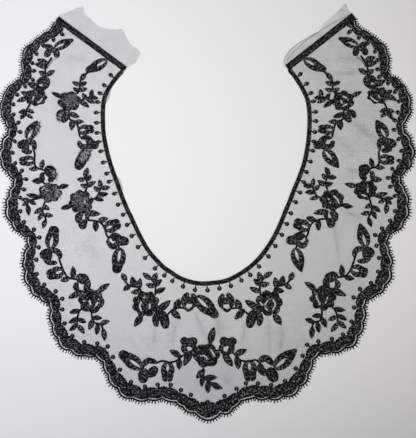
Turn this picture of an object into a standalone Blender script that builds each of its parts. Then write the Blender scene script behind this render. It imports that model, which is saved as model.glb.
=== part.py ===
"""Yoke collar of black machine lace: net ground, corded and scalloped edge, neckline cord, end bars, sprays.

The collar lies flat, as it is laid out after cutting. +Z is up, +Y runs to the open back ends, X is across.
Every table below is in divisions of the drawn pattern. Across counts from the left, down from the top.
"""
import math

import bmesh
import bpy
from mathutils import Vector
from mathutils.geometry import delaunay_2d_cdt

# Driving dimensions, in metres unless a comment says otherwise.
DIVISION = 0.00088  # one division of the drawn pattern
MIDDLE = 207.146  # divisions across to the pattern's centre line
HALFWAY = 214.309  # divisions down to the middle of its length
WALL = 0.0010  # cloth and stitching are built as walls of this thickness
GAP = 0.0003  # clearance between sewn pieces
SPARE = 0.00008  # a little more, where two curved edges run side by side
SEWN = WALL + GAP  # height at which everything stitched on the net starts
BAND = 0.0012  # thickness of the neckline cord and the end bars
CORD_HALF = 0.0008  # half the width of the outer cord
NET_LIP = 0.0009  # net left outside the middle of the outer cord
PICOT_REACH = 0.0030  # how far the picot loops stand out past the net
NECK_HALF = 0.00185  # half the width of the neckline cord
BAR_HALF = 0.0024  # half the width of the end bars
STEM_HALF = 0.00066  # half the width of an embroidered stem
GROOVE = 2.75  # divisions from the outer cord's middle to the border's outer edge
DIP = 4.2  # divisions from a pin's head to the border's inner edge
STEPS = 2  # straight pieces in one small lobe
JOIN = 0.00004  # corners nearer than this become one where outlines are joined
ROSE = 9.0  # a flower of a larger radius than this, in divisions, is a rose
BEND = 0.6  # a spray's outline loses corners that turn less than this many radians

# The small lobes of the left edge, from the end bar down to the middle of the back.
# joint across, joint down, pin across, pin down, bulge as a share of the lobe's chord
LOBES = (
    (55.0, 23.2, 61.6, 31.2, 0.00),
    (49.5, 31.8, 62.3, 34.3, 0.12),
    (40.5, 37.5, 53.3, 39.6, 0.12),
    (32.5, 44.0, 43.5, 45.3, 0.22),
    (23.2, 58.5, 36.3, 53.7, 0.18),
    (22.5, 67.0, 32.3, 63.0, 0.12),
    (23.5, 73.0, 34.0, 71.3, 0.15),
    (20.5, 79.5, 33.0, 79.6, 0.12),
    (14.0, 84.0, 25.5, 86.0, 0.15),
    (6.5, 91.0, 17.3, 94.3, 0.12),
    (3.0, 100.0, 13.0, 104.5, 0.20),
    (2.0, 110.5, 13.5, 115.0, 0.18),
    (5.3, 120.5, 18.5, 123.0, 0.12),
    (9.0, 128.5, 20.0, 132.0, 0.10),
    (8.3, 135.0, 14.5, 141.5, 0.20),
    (2.5, 147.5, 12.3, 153.0, 0.22),
    (1.5, 160.5, 14.7, 163.3, 0.20),
    (8.0, 171.5, 22.0, 171.0, 0.15),
    (14.7, 179.0, 26.0, 179.3, 0.10),
    (13.7, 186.2, 24.0, 189.0, 0.20),
    (9.7, 196.3, 20.0, 197.5, 0.20),
    (7.0, 206.5, 20.5, 211.3, 0.22),
    (12.0, 222.0, 24.0, 222.0, 0.20),
    (20.0, 232.0, 34.0, 229.5, 0.12),
    (27.5, 237.0, 39.5, 237.5, 0.12),
    (29.0, 247.0, 38.7, 247.3, 0.18),
    (24.5, 258.5, 36.3, 259.7, 0.20),
    (26.0, 270.5, 36.7, 274.0, 0.22),
    (30.5, 286.8, 44.3, 284.7, 0.22),
    (39.5, 297.0, 55.7, 291.3, 0.18),
    (49.8, 302.3, 62.3, 298.7, 0.12),
    (51.7, 310.5, 62.3, 309.5, 0.20),
    (53.0, 324.5, 64.7, 323.3, 0.18),
    (58.0, 338.0, 72.3, 336.0, 0.25),
    (71.0, 350.0, 84.3, 342.0, 0.20),
    (85.0, 355.0, 97.3, 343.5, 0.15),
    (95.5, 355.5, 107.7, 346.5, 0.10),
    (103.7, 362.0, 113.0, 357.0, 0.15),
    (108.3, 374.7, 120.0, 369.7, 0.20),
    (118.0, 388.0, 131.0, 382.0, 0.25),
    (132.5, 397.8, 145.0, 386.7, 0.15),
    (148.7, 399.3, 157.7, 384.7, 0.12),
    (162.0, 398.0, 170.7, 384.7, 0.10),
    (176.0, 401.7, 181.0, 390.0, 0.12),
    (183.0, 407.0, 191.0, 394.7, 0.18),
    (195.0, 412.5, 201.0, 399.5, 0.29),
)

# The right half is the left one turned over and laid by hand, so it drifts a little.
# across, down (where the turned pattern has it), then the shift across and down
DRIFT = (
    (356, 19, -0.3, -1.8),
    (380, 44, 0.5, -2.5),
    (391, 79, 0.0, -2.2),
    (376, 97, 2.5, -1.5),
    (343, 101, 0.5, 0.5),
    (304, 60, -1.0, -1.0),
    (410, 110, 1.0, -1.0),
    (403, 129, 0.8, 1.5),
    (385, 146, 1.5, -1.5),
    (325, 143, 0.0, 0.0),
    (409, 150, 2.5, -0.5),
    (397, 179, 1.4, -1.3),
    (363, 192, 3.0, -2.0),
    (330, 202, 0.8, -1.8),
    (403, 206, 2.0, -1.0),
    (384, 237, 2.2, -1.5),
    (361, 238, 2.5, -2.0),
    (299, 225, 2.0, -0.5),
    (294, 250, 3.5, -1.0),
    (387, 262, 2.5, -1.8),
    (265, 304, 3.5, -1.0),
    (224, 304, 3.5, 0.5),
    (362, 302, 2.8, -2.5),
    (322, 300, 1.0, -2.0),
    (359, 325, 4.0, -2.8),
    (341, 350, 3.5, -2.0),
    (308, 362, 4.4, -2.3),
    (294, 388, 5.2, -1.7),
    (264, 398, 4.0, -1.8),
    (238, 402, 5.0, -0.3),
    (217, 412, 2.3, 1.0),
)

# Middle of the neckline cord, from the left end bar round the back of the neck to the right one.
NECK = (
    (122.2, 71.3),
    (112.0, 83.5),
    (105.2, 96.0),
    (102.9, 111.0),
    (103.3, 130.0),
    (106.7, 150.0),
    (112.4, 170.0),
    (119.6, 190.0),
    (127.6, 210.0),
    (137.0, 230.0),
    (148.0, 250.0),
    (163.0, 266.7),
    (181.0, 278.5),
    (203.0, 283.6),
    (223.0, 281.5),
    (240.0, 273.8),
    (259.0, 258.5),
    (272.3, 240.0),
    (282.0, 220.0),
    (290.2, 200.0),
    (298.2, 180.0),
    (305.0, 160.0),
    (308.5, 140.0),
    (309.6, 120.0),
    (307.8, 101.0),
    (301.0, 86.0),
    (289.3, 69.8),
)

# Ends of the two end bars: outer end, inner end.
LEFT_BAR = ((56.8, 19.0), (125.4, 69.6))
RIGHT_BAR = ((353.6, 15.4), (286.6, 67.8))

# The raw net left past each end bar, from the bar's outer end to its inner end.
LEFT_TAB = (
    (54.0, 21.8),
    (58.4, 15.8),
    (66.0, 12.0),
    (71.0, 11.0),
    (80.5, 6.6),
    (82.7, 7.6),
    (86.5, 16.0),
    (90.0, 17.7),
    (96.0, 25.0),
    (108.0, 29.0),
    (121.0, 30.0),
    (125.5, 34.5),
    (130.0, 44.0),
    (137.5, 49.0),
    (140.5, 54.0),
    (137.0, 60.5),
    (128.8, 67.4),
)
RIGHT_TAB = (
    (356.4, 18.4),
    (352.0, 12.3),
    (349.8, 11.8),
    (347.0, 4.6),
    (344.6, 3.8),
    (338.0, 10.2),
    (330.0, 17.6),
    (322.0, 23.4),
    (316.0, 30.0),
    (306.0, 37.0),
    (297.0, 44.0),
    (291.0, 48.5),
    (287.0, 55.0),
    (283.6, 62.0),
    (283.0, 66.0),
)

# Embroidery of the left half. "leaf" rows: foot across, foot down, tip across, tip down, width.
# "disc" rows: centre across, centre down, radius. "stem" rows: points along it.
OUTER_TOP = (
    ("leaf", 54.0, 48.5, 73.5, 39.5, 9.0),
    ("leaf", 53.0, 49.5, 44.0, 45.5, 5.0),
    ("leaf", 52.5, 49.0, 46.0, 57.0, 8.0),
    ("leaf", 52.5, 49.0, 57.3, 58.6, 8.0),
    ("stem", 52.0, 52.0, 51.0, 58.0, 46.5, 66.0, 45.2, 71.0, 46.0, 79.0),
    ("leaf", 47.3, 63.0, 37.5, 60.0, 5.5),
    ("leaf", 46.4, 67.2, 35.0, 64.0, 5.5),
    ("leaf", 45.8, 75.0, 38.5, 71.5, 4.8),
    ("leaf", 45.8, 75.5, 54.5, 70.3, 4.8),
    ("disc", 43.5, 83.3, 5.8),
    ("leaf", 39.5, 87.0, 30.5, 84.3, 5.5),
    ("stem", 42.0, 86.0, 38.5, 91.0),
    ("disc", 36.3, 97.2, 10.6),
    ("leaf", 29.0, 96.0, 20.5, 91.7, 4.5),
    ("leaf", 28.0, 97.5, 17.0, 101.5, 4.5),
    ("stem", 31.0, 103.0, 27.2, 109.0, 26.0, 114.5),
    ("leaf", 27.3, 110.3, 18.5, 113.0, 4.2),
    ("leaf", 26.8, 109.8, 34.5, 113.0, 4.2),
    ("leaf", 26.0, 113.5, 20.3, 119.7, 4.2),
    ("leaf", 26.2, 114.0, 33.3, 118.2, 3.6),
)
OUTER_MIDDLE = (
    ("leaf", 27.0, 140.0, 37.5, 120.8, 11.0),
    ("leaf", 29.0, 142.5, 16.5, 144.7, 9.5),
    ("leaf", 27.0, 139.0, 25.5, 153.0, 9.0),
    ("disc", 30.5, 146.5, 5.4),
    ("stem", 33.0, 149.0, 34.8, 154.0, 34.6, 164.0, 38.0, 168.4, 42.0, 169.2, 46.0, 171.5),
    ("leaf", 34.8, 160.0, 19.0, 160.8, 9.5),
    ("leaf", 38.5, 168.7, 28.5, 169.2, 4.5),
    ("leaf", 41.0, 169.0, 43.5, 159.0, 5.0),
    ("disc", 47.8, 174.5, 6.4),
    ("leaf", 43.0, 180.5, 31.5, 181.0, 5.8),
    ("stem", 45.0, 177.0, 42.0, 180.4, 46.5, 185.0),
    ("disc", 49.2, 192.3, 10.4),
    ("leaf", 58.0, 188.0, 69.3, 185.3, 4.8),
    ("leaf", 40.0, 197.0, 25.8, 194.5, 4.5),
    ("stem", 44.0, 196.6, 34.0, 199.5, 28.5, 201.0, 27.6, 208.0),
    ("leaf", 30.0, 200.0, 20.6, 199.6, 4.0),
    ("leaf", 29.5, 200.5, 36.5, 204.7, 4.0),
    ("leaf", 28.4, 202.0, 21.8, 205.6, 3.8),
    ("leaf", 27.6, 205.0, 28.7, 215.7, 4.8),
    ("stem", 45.5, 200.5, 43.0, 208.0, 43.0, 213.5, 45.4, 218.0, 46.0, 223.0),
    ("leaf", 43.2, 208.0, 33.8, 213.7, 4.8),
    ("leaf", 42.8, 206.5, 49.8, 210.0, 4.8),
    ("leaf", 43.2, 212.5, 38.0, 221.0, 4.4),
    ("leaf", 43.8, 214.3, 53.8, 216.0, 4.4),
    ("leaf", 46.2, 219.5, 42.8, 229.0, 4.6),
)
OUTER_LOWER = (
    ("leaf", 50.0, 249.5, 54.7, 226.0, 14.0),
    ("leaf", 51.5, 252.0, 39.3, 255.7, 11.0),
    ("leaf", 50.0, 250.5, 61.0, 255.0, 8.0),
    ("leaf", 50.0, 250.5, 51.5, 265.0, 11.0),
    ("disc", 54.6, 256.8, 5.6),
    ("stem", 59.0, 258.0, 60.2, 262.0, 63.2, 270.0, 66.5, 275.7, 70.5, 278.3, 79.0, 279.5),
    ("leaf", 64.0, 271.5, 46.6, 274.5, 12.0),
    ("leaf", 72.5, 278.5, 73.0, 266.0, 5.6),
    ("leaf", 69.8, 278.6, 60.0, 280.8, 5.0),
    ("disc", 82.2, 281.8, 7.4),
    ("stem", 83.0, 286.0, 82.0, 291.0, 86.0, 293.0),
    ("leaf", 82.5, 291.0, 68.0, 298.3, 6.0),
    ("disc", 91.0, 300.3, 12.4),
    ("leaf", 97.0, 293.5, 110.0, 283.5, 5.2),
    ("stem", 82.5, 308.0, 79.0, 312.0, 77.4, 319.0, 77.2, 326.0),
    ("leaf", 80.5, 310.5, 69.0, 313.0, 4.6),
    ("leaf", 78.0, 317.5, 68.3, 323.0, 4.6),
    ("leaf", 77.8, 319.0, 86.5, 322.5, 4.6),
    ("leaf", 77.4, 323.0, 69.0, 331.0, 4.6),
    ("leaf", 77.4, 325.0, 84.6, 334.0, 5.0),
    ("stem", 91.5, 310.0, 92.2, 318.0, 95.0, 322.8, 101.0, 324.6, 103.4, 331.0),
    ("leaf", 92.0, 318.0, 102.5, 318.2, 4.8),
    ("leaf", 92.8, 319.5, 88.8, 330.0, 5.6),
    ("leaf", 100.0, 324.6, 110.0, 320.7, 4.8),
    ("leaf", 97.6, 323.8, 96.5, 335.3, 5.2),
    ("leaf", 102.8, 328.5, 104.6, 341.0, 5.4),
)
INNER_TOP = (
    ("leaf", 104.6, 62.6, 86.2, 72.0, 10.0),
    ("stem", 90.0, 70.4, 84.0, 76.0, 80.4, 81.0, 79.4, 90.0, 76.0, 94.5),
    ("leaf", 85.0, 74.0, 80.2, 81.2, 4.8),
    ("leaf", 80.0, 84.8, 72.0, 82.0, 4.2),
    ("leaf", 79.5, 85.4, 87.0, 82.0, 4.4),
    ("leaf", 79.5, 90.8, 72.7, 88.0, 4.2),
    ("leaf", 79.0, 91.0, 88.0, 89.0, 4.2),
    ("disc", 69.2, 101.2, 10.8),
    ("leaf", 62.0, 97.5, 51.5, 92.5, 4.2),
    ("stem", 78.0, 101.5, 84.0, 99.3, 91.0, 96.4),
    ("leaf", 85.5, 98.8, 82.6, 93.5, 4.4),
    ("leaf", 91.0, 97.0, 92.3, 89.5, 4.4),
    ("leaf", 90.0, 96.6, 98.3, 98.3, 4.0),
    ("leaf", 86.0, 98.8, 95.0, 103.3, 4.2),
    ("leaf", 79.0, 101.0, 89.3, 107.2, 4.8),
    ("stem", 69.0, 110.0, 69.4, 115.0, 70.0, 119.3, 76.5, 122.8, 78.5, 130.0, 80.2, 138.0),
    ("disc", 63.6, 116.8, 6.4),
    ("leaf", 69.0, 113.2, 79.5, 117.0, 4.8),
    ("leaf", 74.5, 121.7, 84.4, 121.7, 4.4),
    ("leaf", 72.0, 120.5, 71.6, 130.4, 5.8),
    ("leaf", 78.2, 129.5, 94.0, 129.6, 9.4),
    ("disc", 86.6, 143.0, 6.8),
    ("leaf", 80.6, 136.5, 79.5, 148.0, 5.6),
    ("leaf", 84.0, 144.5, 97.0, 146.0, 8.0),
    ("leaf", 88.3, 147.0, 77.2, 169.8, 14.0),
)
INNER_MIDDLE = (
    ("leaf", 84.2, 177.0, 87.8, 167.4, 5.2),
    ("stem", 84.0, 175.0, 86.6, 180.5, 87.4, 186.0, 85.0, 192.0),
    ("leaf", 85.3, 179.3, 76.5, 179.2, 4.4),
    ("leaf", 86.2, 180.6, 91.2, 174.5, 4.4),
    ("leaf", 87.6, 186.5, 80.0, 184.6, 4.4),
    ("leaf", 87.0, 187.0, 96.0, 181.5, 5.0),
    ("disc", 81.3, 201.3, 11.4),
    ("leaf", 72.0, 206.0, 60.5, 208.7, 5.0),
    ("stem", 90.0, 199.2, 95.6, 198.2, 98.6, 193.6, 100.2, 189.2, 103.0, 186.6),
    ("leaf", 101.0, 188.0, 99.3, 179.0, 4.6),
    ("leaf", 99.6, 191.4, 93.3, 186.3, 4.6),
    ("leaf", 101.0, 188.0, 110.6, 187.2, 5.0),
    ("leaf", 98.0, 194.4, 108.6, 193.6, 5.0),
    ("leaf", 94.0, 198.4, 104.2, 200.6, 4.4),
    ("disc", 83.0, 218.2, 7.2),
    ("leaf", 84.0, 215.0, 81.7, 229.0, 12.0),
    ("leaf", 86.0, 213.6, 100.6, 214.2, 6.0),
    ("stem", 88.0, 220.8, 96.0, 221.0, 101.5, 223.4, 104.9, 229.0, 106.6, 235.0, 109.5, 239.0),
    ("leaf", 98.0, 221.6, 108.3, 218.2, 5.6),
    ("leaf", 95.4, 220.8, 95.6, 232.0, 5.8),
    ("leaf", 104.4, 227.6, 121.0, 223.6, 12.0),
    ("disc", 114.8, 240.4, 6.6),
    ("leaf", 114.0, 244.0, 129.0, 241.8, 10.0),
    ("stem", 117.6, 244.0, 120.2, 251.0),
    ("leaf", 120.6, 247.0, 116.2, 273.4, 13.5),
)
INNER_LOWER = (
    ("stem", 121.6, 274.6, 125.0, 281.0, 129.4, 285.4, 139.0, 288.0, 142.0, 294.0),
    ("leaf", 121.8, 273.8, 126.4, 282.8, 5.2),
    ("leaf", 133.6, 287.2, 131.8, 276.3, 6.0),
    ("leaf", 139.3, 289.0, 140.6, 278.0, 5.6),
    ("leaf", 130.5, 285.8, 123.0, 290.7, 5.0),
    ("leaf", 140.6, 290.5, 130.7, 292.6, 5.0),
    ("disc", 145.8, 304.3, 13.0),
    ("leaf", 142.0, 315.0, 134.0, 326.8, 6.4),
    ("stem", 155.3, 296.0, 155.4, 286.0, 153.4, 281.5, 150.0, 277.8),
    ("leaf", 151.6, 279.2, 142.4, 272.8, 4.8),
    ("leaf", 153.5, 282.0, 157.0, 272.4, 5.6),
    ("leaf", 155.3, 285.8, 145.4, 284.2, 5.0),
    ("leaf", 154.8, 286.4, 162.0, 279.4, 5.2),
    ("leaf", 154.8, 292.4, 166.0, 287.7, 5.0),
    ("stem", 150.0, 308.5, 161.0, 313.5),
    ("disc", 160.6, 314.4, 6.2),
    ("leaf", 158.2, 311.5, 157.0, 326.0, 7.6),
    ("leaf", 160.5, 311.5, 166.0, 327.2, 9.6),
    ("leaf", 157.0, 310.6, 170.8, 300.4, 6.4),
    ("stem", 164.0, 318.0, 170.8, 311.4, 174.6, 308.4, 178.0, 307.4, 187.0, 307.8),
    ("leaf", 174.8, 309.2, 179.4, 298.4, 7.0),
    ("leaf", 171.4, 309.8, 181.0, 319.4, 6.2),
    ("disc", 188.4, 303.2, 6.6),
    ("leaf", 189.6, 306.0, 187.5, 292.8, 10.0),
    ("leaf", 189.0, 303.0, 196.6, 295.6, 6.0),
)
# The leaf under the middle of the neck grows from the left spray only.
CENTRE_LEAF = (("leaf", 196.0, 297.4, 217.8, 316.4, 13.0),)
# The spray at the middle of the back is given whole.
BACK_SPRAY = (
    ("leaf", 142.0, 368.6, 119.6, 352.6, 12.4),
    ("leaf", 141.0, 368.4, 157.6, 362.4, 8.6),
    ("leaf", 147.0, 366.5, 142.0, 382.0, 9.4),
    ("leaf", 145.0, 368.6, 157.0, 374.0, 9.6),
    ("disc", 150.8, 366.6, 5.4),
    ("stem", 155.0, 363.6, 162.0, 361.0, 170.0, 362.3, 177.0, 360.4, 181.4, 356.4, 185.0, 350.0),
    ("leaf", 168.0, 361.4, 167.2, 381.4, 13.6),
    ("leaf", 179.0, 358.2, 178.7, 370.2, 5.8),
    ("leaf", 181.2, 357.4, 169.3, 349.9, 5.6),
    ("disc", 188.4, 347.8, 6.0),
    ("leaf", 189.6, 353.0, 181.6, 337.4, 11.0),
    ("leaf", 188.0, 352.0, 195.2, 337.6, 10.0),
    ("stem", 189.0, 351.0, 198.0, 352.6),
    ("leaf", 191.4, 350.8, 183.8, 366.2, 7.0),
    ("disc", 206.6, 355.4, 13.6),
    ("leaf", 210.0, 344.0, 214.2, 327.0, 6.8),
    ("disc", 227.4, 347.2, 6.2),
    ("leaf", 226.4, 352.0, 221.4, 336.4, 9.6),
    ("leaf", 226.8, 352.6, 235.0, 337.2, 10.6),
    ("stem", 216.0, 350.6, 224.0, 351.4),
    ("leaf", 223.6, 350.6, 232.8, 366.6, 7.0),
    ("leaf", 236.4, 356.2, 238.2, 369.6, 6.8),
    ("leaf", 234.6, 355.0, 247.2, 349.6, 6.2),
    ("stem", 230.0, 349.6, 235.2, 355.0, 239.6, 360.0, 248.0, 361.4, 255.4, 360.0, 261.0, 364.0),
    ("leaf", 249.0, 359.6, 250.6, 381.0, 14.6),
    ("disc", 265.0, 367.4, 5.8),
    ("leaf", 273.6, 368.6, 260.6, 358.6, 9.6),
    ("leaf", 266.0, 367.0, 275.4, 381.4, 9.8),
    ("leaf", 274.0, 368.8, 296.6, 350.0, 12.4),
    ("stem", 203.4, 366.0, 203.6, 376.0, 207.0, 380.2, 212.0, 383.4),
    ("leaf", 204.6, 370.0, 196.2, 378.4, 6.0),
    ("leaf", 204.4, 377.6, 217.0, 377.4, 5.6),
    ("leaf", 203.4, 375.0, 201.6, 386.8, 4.8),
    ("leaf", 208.8, 380.6, 208.0, 393.2, 5.6),
    ("leaf", 211.0, 382.6, 222.6, 388.6, 5.6),
)


def clear_scene():
    for thing in list(bpy.data.objects):
        bpy.data.objects.remove(thing)


def material(name, colour, roughness):
    made = bpy.data.materials.new(name)
    made.use_nodes = True
    shader = made.node_tree.nodes["Principled BSDF"]
    shader.inputs["Base Color"].default_value = (*colour, 1.0)
    shader.inputs["Roughness"].default_value = roughness
    shader.inputs["Metallic"].default_value = 0.0
    made.diffuse_color = (*colour, 1.0)
    return made


def at(across, down):
    """A place on the drawn pattern, in metres."""
    return Vector(((across - MIDDLE) * DIVISION, (HALFWAY - down) * DIVISION))


def turned(across, down):
    """Where the right half has a place of the left half, as a place on the drawn pattern."""
    across = 2 * 206.0 - across
    weight_sum = 0.0
    shift = Vector((0.0, 0.0))
    for row in DRIFT:
        weight = 1.0 / (36.0 + (across - row[0]) ** 2 + (down - row[1]) ** 2) ** 1.5
        weight_sum += weight
        shift += weight * Vector((row[2], row[3]))
    return across + shift.x / weight_sum, down + shift.y / weight_sum


def sideways(line, i):
    """The unit direction to the right of the line at one of its points."""
    ahead = line[min(i + 1, len(line) - 1)] - line[max(i - 1, 0)]
    ahead.normalize()
    return Vector((ahead.y, -ahead.x))


def thirds(line):
    """The line's points and two more on each of its pieces."""
    points = []
    for start, end in zip(line, line[1:]):
        points += [start, start.lerp(end, 1 / 3), start.lerp(end, 2 / 3)]
    return points


def beside(line, distance, keep=0.97):
    """The line moved to its right, without the points that would come too near to it."""
    close = thirds(line)
    moved = []
    for i, point in enumerate(line):
        new = point + sideways(line, i) * distance
        nearest = min((new - other).length for other in close)
        if nearest > abs(distance) * keep:
            moved.append(new)
    return moved


def lobe(start, end, bulge, steps):
    """One small lobe from start towards end, swelling to the right of the way it runs."""
    chord = end - start
    out = Vector((chord.y, -chord.x))
    points = []
    for step in range(steps):
        t = step / steps
        points.append(start + chord * t + out * (4 * bulge * t * (1 - t)))
    return points


def rows_all_round():
    """Joint, pin and bulge of every small lobe, down the left half and up the right half."""
    rows = []
    for row in LOBES:
        rows.append((at(row[0], row[1]), at(row[2], row[3]), row[4]))
    back = list(reversed(LOBES))
    for i, row in enumerate(back):
        joint = at(*turned(row[0], row[1]))
        pin = at(*turned(row[2], row[3]))
        bulge = back[i + 1][4] if i + 1 < len(back) else 0.0
        rows.append((joint, pin, bulge))
    return rows


def cord_line(rows):
    """Middle of the outer cord, from the left end bar round to the right one."""
    line = []
    for here, there in zip(rows, rows[1:]):
        line += lobe(here[0], there[0], here[2], STEPS)
    line.append(rows[-1][0])
    return line


def border_outline(rows):
    """The scalloped band: lobes on its outer side, bumps between the pins on its inner side."""
    outer = []
    inner = []
    for joint, pin, bulge in rows:
        inward = (pin - joint).normalized()
        outer.append(joint + inward * GROOVE * DIVISION)
        inner.append(pin - inward * DIP * DIVISION)
    line = []
    for i in range(len(rows) - 1):
        line += lobe(outer[i], outer[i + 1], max(rows[i][2] - 0.02, 0.0), STEPS)
    line.append(outer[-1])
    inner.reverse()
    for i in range(len(inner) - 1):
        line += lobe(inner[i], inner[i + 1], 0.14, 2)
    line.append(inner[-1])
    return line


def solid(name, outline, low, thickness, look, home):
    """A flat wall with this outline, standing from low upwards."""
    curve = bpy.data.curves.new(name, "CURVE")
    curve.dimensions = "2D"
    curve.fill_mode = "BOTH"
    curve.extrude = thickness / 2
    spline = curve.splines.new("POLY")
    spline.points.add(len(outline) - 1)
    for point, place in zip(spline.points, outline):
        point.co = (place.x, place.y, 0.0, 1.0)
    spline.use_cyclic_u = True
    made = bpy.data.objects.new(name, curve)
    made.location.z = low + thickness / 2
    curve.materials.append(look)
    home.objects.link(made)
    return made


def strip(line, half):
    """Outline of a band of even width along a line."""
    right = [p + sideways(line, i) * half for i, p in enumerate(line)]
    left = [p - sideways(line, i) * half for i, p in enumerate(line)]
    left.reverse()
    return right + left


def leaf_outline(foot, tip, width):
    """A pointed leaf: foot, one shoulder a side, tip. The foot reaches into what it grows from."""
    foot = foot.lerp(tip, -0.13)
    along = tip - foot
    across = Vector((along.y, -along.x)).normalized() * width * DIVISION / 2
    middle = foot + along * 0.52
    return [foot, middle + across, tip, middle - across]


def disc_outline(centre, radius):
    """A flower, as a flat disc: eight corners on a rose, six on a small blossom."""
    corners = 8 if radius > ROSE else 6
    points = []
    for i in range(corners):
        angle = 2 * math.pi * (i + 0.3) / corners
        points.append(centre + radius * DIVISION * Vector((math.cos(angle), math.sin(angle))))
    return points


def outline_of(row, place):
    """Outline of one row of a spray's table."""
    numbers = row[1:]
    if row[0] == "disc":
        return disc_outline(place(numbers[0], numbers[1]), numbers[2])
    if row[0] == "stem":
        points = [place(*numbers[i : i + 2]) for i in range(0, len(numbers), 2)]
        return strip(points, STEM_HALF)
    foot = place(numbers[0], numbers[1])
    tip = place(numbers[2], numbers[3])
    return leaf_outline(foot, tip, numbers[4])


def joined_wall(name, outlines, low, thickness):
    """One flat wall that covers all these overlapping outlines, as a mesh."""
    corners = []
    rings = []
    for outline in outlines:
        rings.append(list(range(len(corners), len(corners) + len(outline))))
        corners += outline
    cut = delaunay_2d_cdt(corners, [], rings, 1, JOIN)
    shape = bmesh.new()
    places = [shape.verts.new((p.x, p.y, low)) for p in cut[0]]
    for face in cut[2]:
        shape.faces.new([places[i] for i in face])
    loose = [v for v in shape.verts if not v.link_faces]
    bmesh.ops.delete(shape, geom=loose, context="VERTS")
    bmesh.ops.remove_doubles(shape, verts=shape.verts, dist=JOIN)
    bmesh.ops.dissolve_limit(shape, angle_limit=BEND, verts=shape.verts, edges=shape.edges)
    top = bmesh.ops.extrude_face_region(shape, geom=shape.faces[:])
    moved = [v for v in top["geom"] if isinstance(v, bmesh.types.BMVert)]
    bmesh.ops.translate(shape, verts=moved, vec=(0, 0, thickness))
    bmesh.ops.recalc_face_normals(shape, faces=shape.faces)
    bmesh.ops.triangulate(shape, faces=shape.faces)
    mesh = bpy.data.meshes.new(name)
    shape.to_mesh(mesh)
    shape.free()
    return mesh


def spray(name, table, place, look, home):
    """One spray of embroidery as a single raised wall: all its leaves, stems and flowers joined."""
    outlines = [outline_of(row, place) for row in table]
    mesh = joined_wall(name, outlines, SEWN, WALL)
    mesh.materials.append(look)
    body = bpy.data.objects.new(name, mesh)
    home.objects.link(body)
    return body


def at_turned(across, down):
    return at(*turned(across, down))


def build():
    clear_scene()
    home = bpy.data.collections.new("lace_yoke_collar")
    bpy.context.scene.collection.children.link(home)
    net = material("net", (0.36, 0.36, 0.37), 0.9)
    cord = material("satin_cord", (0.014, 0.014, 0.016), 0.5)
    thread = material("embroidery", (0.02, 0.02, 0.023), 0.55)

    rows = rows_all_round()
    edge = cord_line(rows)
    neck = [at(*p) for p in NECK]

    # Net ground: the outer edge, the right tab, the neckline from right to left, the left tab.
    outline = beside(edge, NET_LIP)
    outline += [at(*p) for p in RIGHT_TAB]
    opening = [p - sideways(neck, i) * (NECK_HALF + 0.0001) for i, p in enumerate(neck)]
    opening.reverse()
    outline += opening
    outline += [at(*p) for p in reversed(LEFT_TAB)]
    solid("net_ground", outline, 0.0, WALL, net, home)

    solid("scallop_border", border_outline(rows), SEWN, WALL, thread, home)
    outer = beside(edge, CORD_HALF)
    inner = beside(edge, -CORD_HALF)
    inner.reverse()
    solid("outer_cord", outer + inner, SEWN, WALL, cord, home)

    near = beside(edge, NET_LIP + GAP + SPARE)
    crowns = edge[:1] + edge[1::2] + edge[-1:]
    far = beside(crowns, NET_LIP + GAP + PICOT_REACH)
    far.reverse()
    solid("picot_edge", near + far, GAP, WALL, thread, home)

    solid("neckline_cord", strip(neck, NECK_HALF), SEWN, BAND, cord, home)
    for name, ends in (("end_bar_left", LEFT_BAR), ("end_bar_right", RIGHT_BAR)):
        line = [at(*ends[0]), at(*ends[1])]
        solid(name, strip(line, BAR_HALF), SEWN, BAND, cord, home)

    halves = (
        ("outer_top", OUTER_TOP),
        ("outer_middle", OUTER_MIDDLE),
        ("outer_lower", OUTER_LOWER),
        ("inner_top", INNER_TOP),
        ("inner_middle", INNER_MIDDLE),
        ("inner_lower", INNER_LOWER),
    )
    for name, table in halves:
        extra = CENTRE_LEAF if name == "inner_lower" else ()
        spray("spray_" + name + "_left", table + extra, at, thread, home)
        spray("spray_" + name + "_right", table, at_turned, thread, home)
    spray("spray_back", BACK_SPRAY, at, thread, home)


build()
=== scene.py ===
# %% [markdown]
# # A yoke collar of black machine lace, laid out flat
#
# The collar is a deep horseshoe of fine net. Rayon thread is stitched over it: a scalloped border with
# a corded picot edge, a satin cord round the neck, a bar across each open end, and thirteen sprays of
# roses, blossoms and leaves. This lesson rebuilds its looks over a plain solid model of the same
# pieces. Every piece is made where the solid model has it, in metres, so nothing is fitted afterwards.

import math
import random

import bmesh
import bpy
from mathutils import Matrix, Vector, noise


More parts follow.
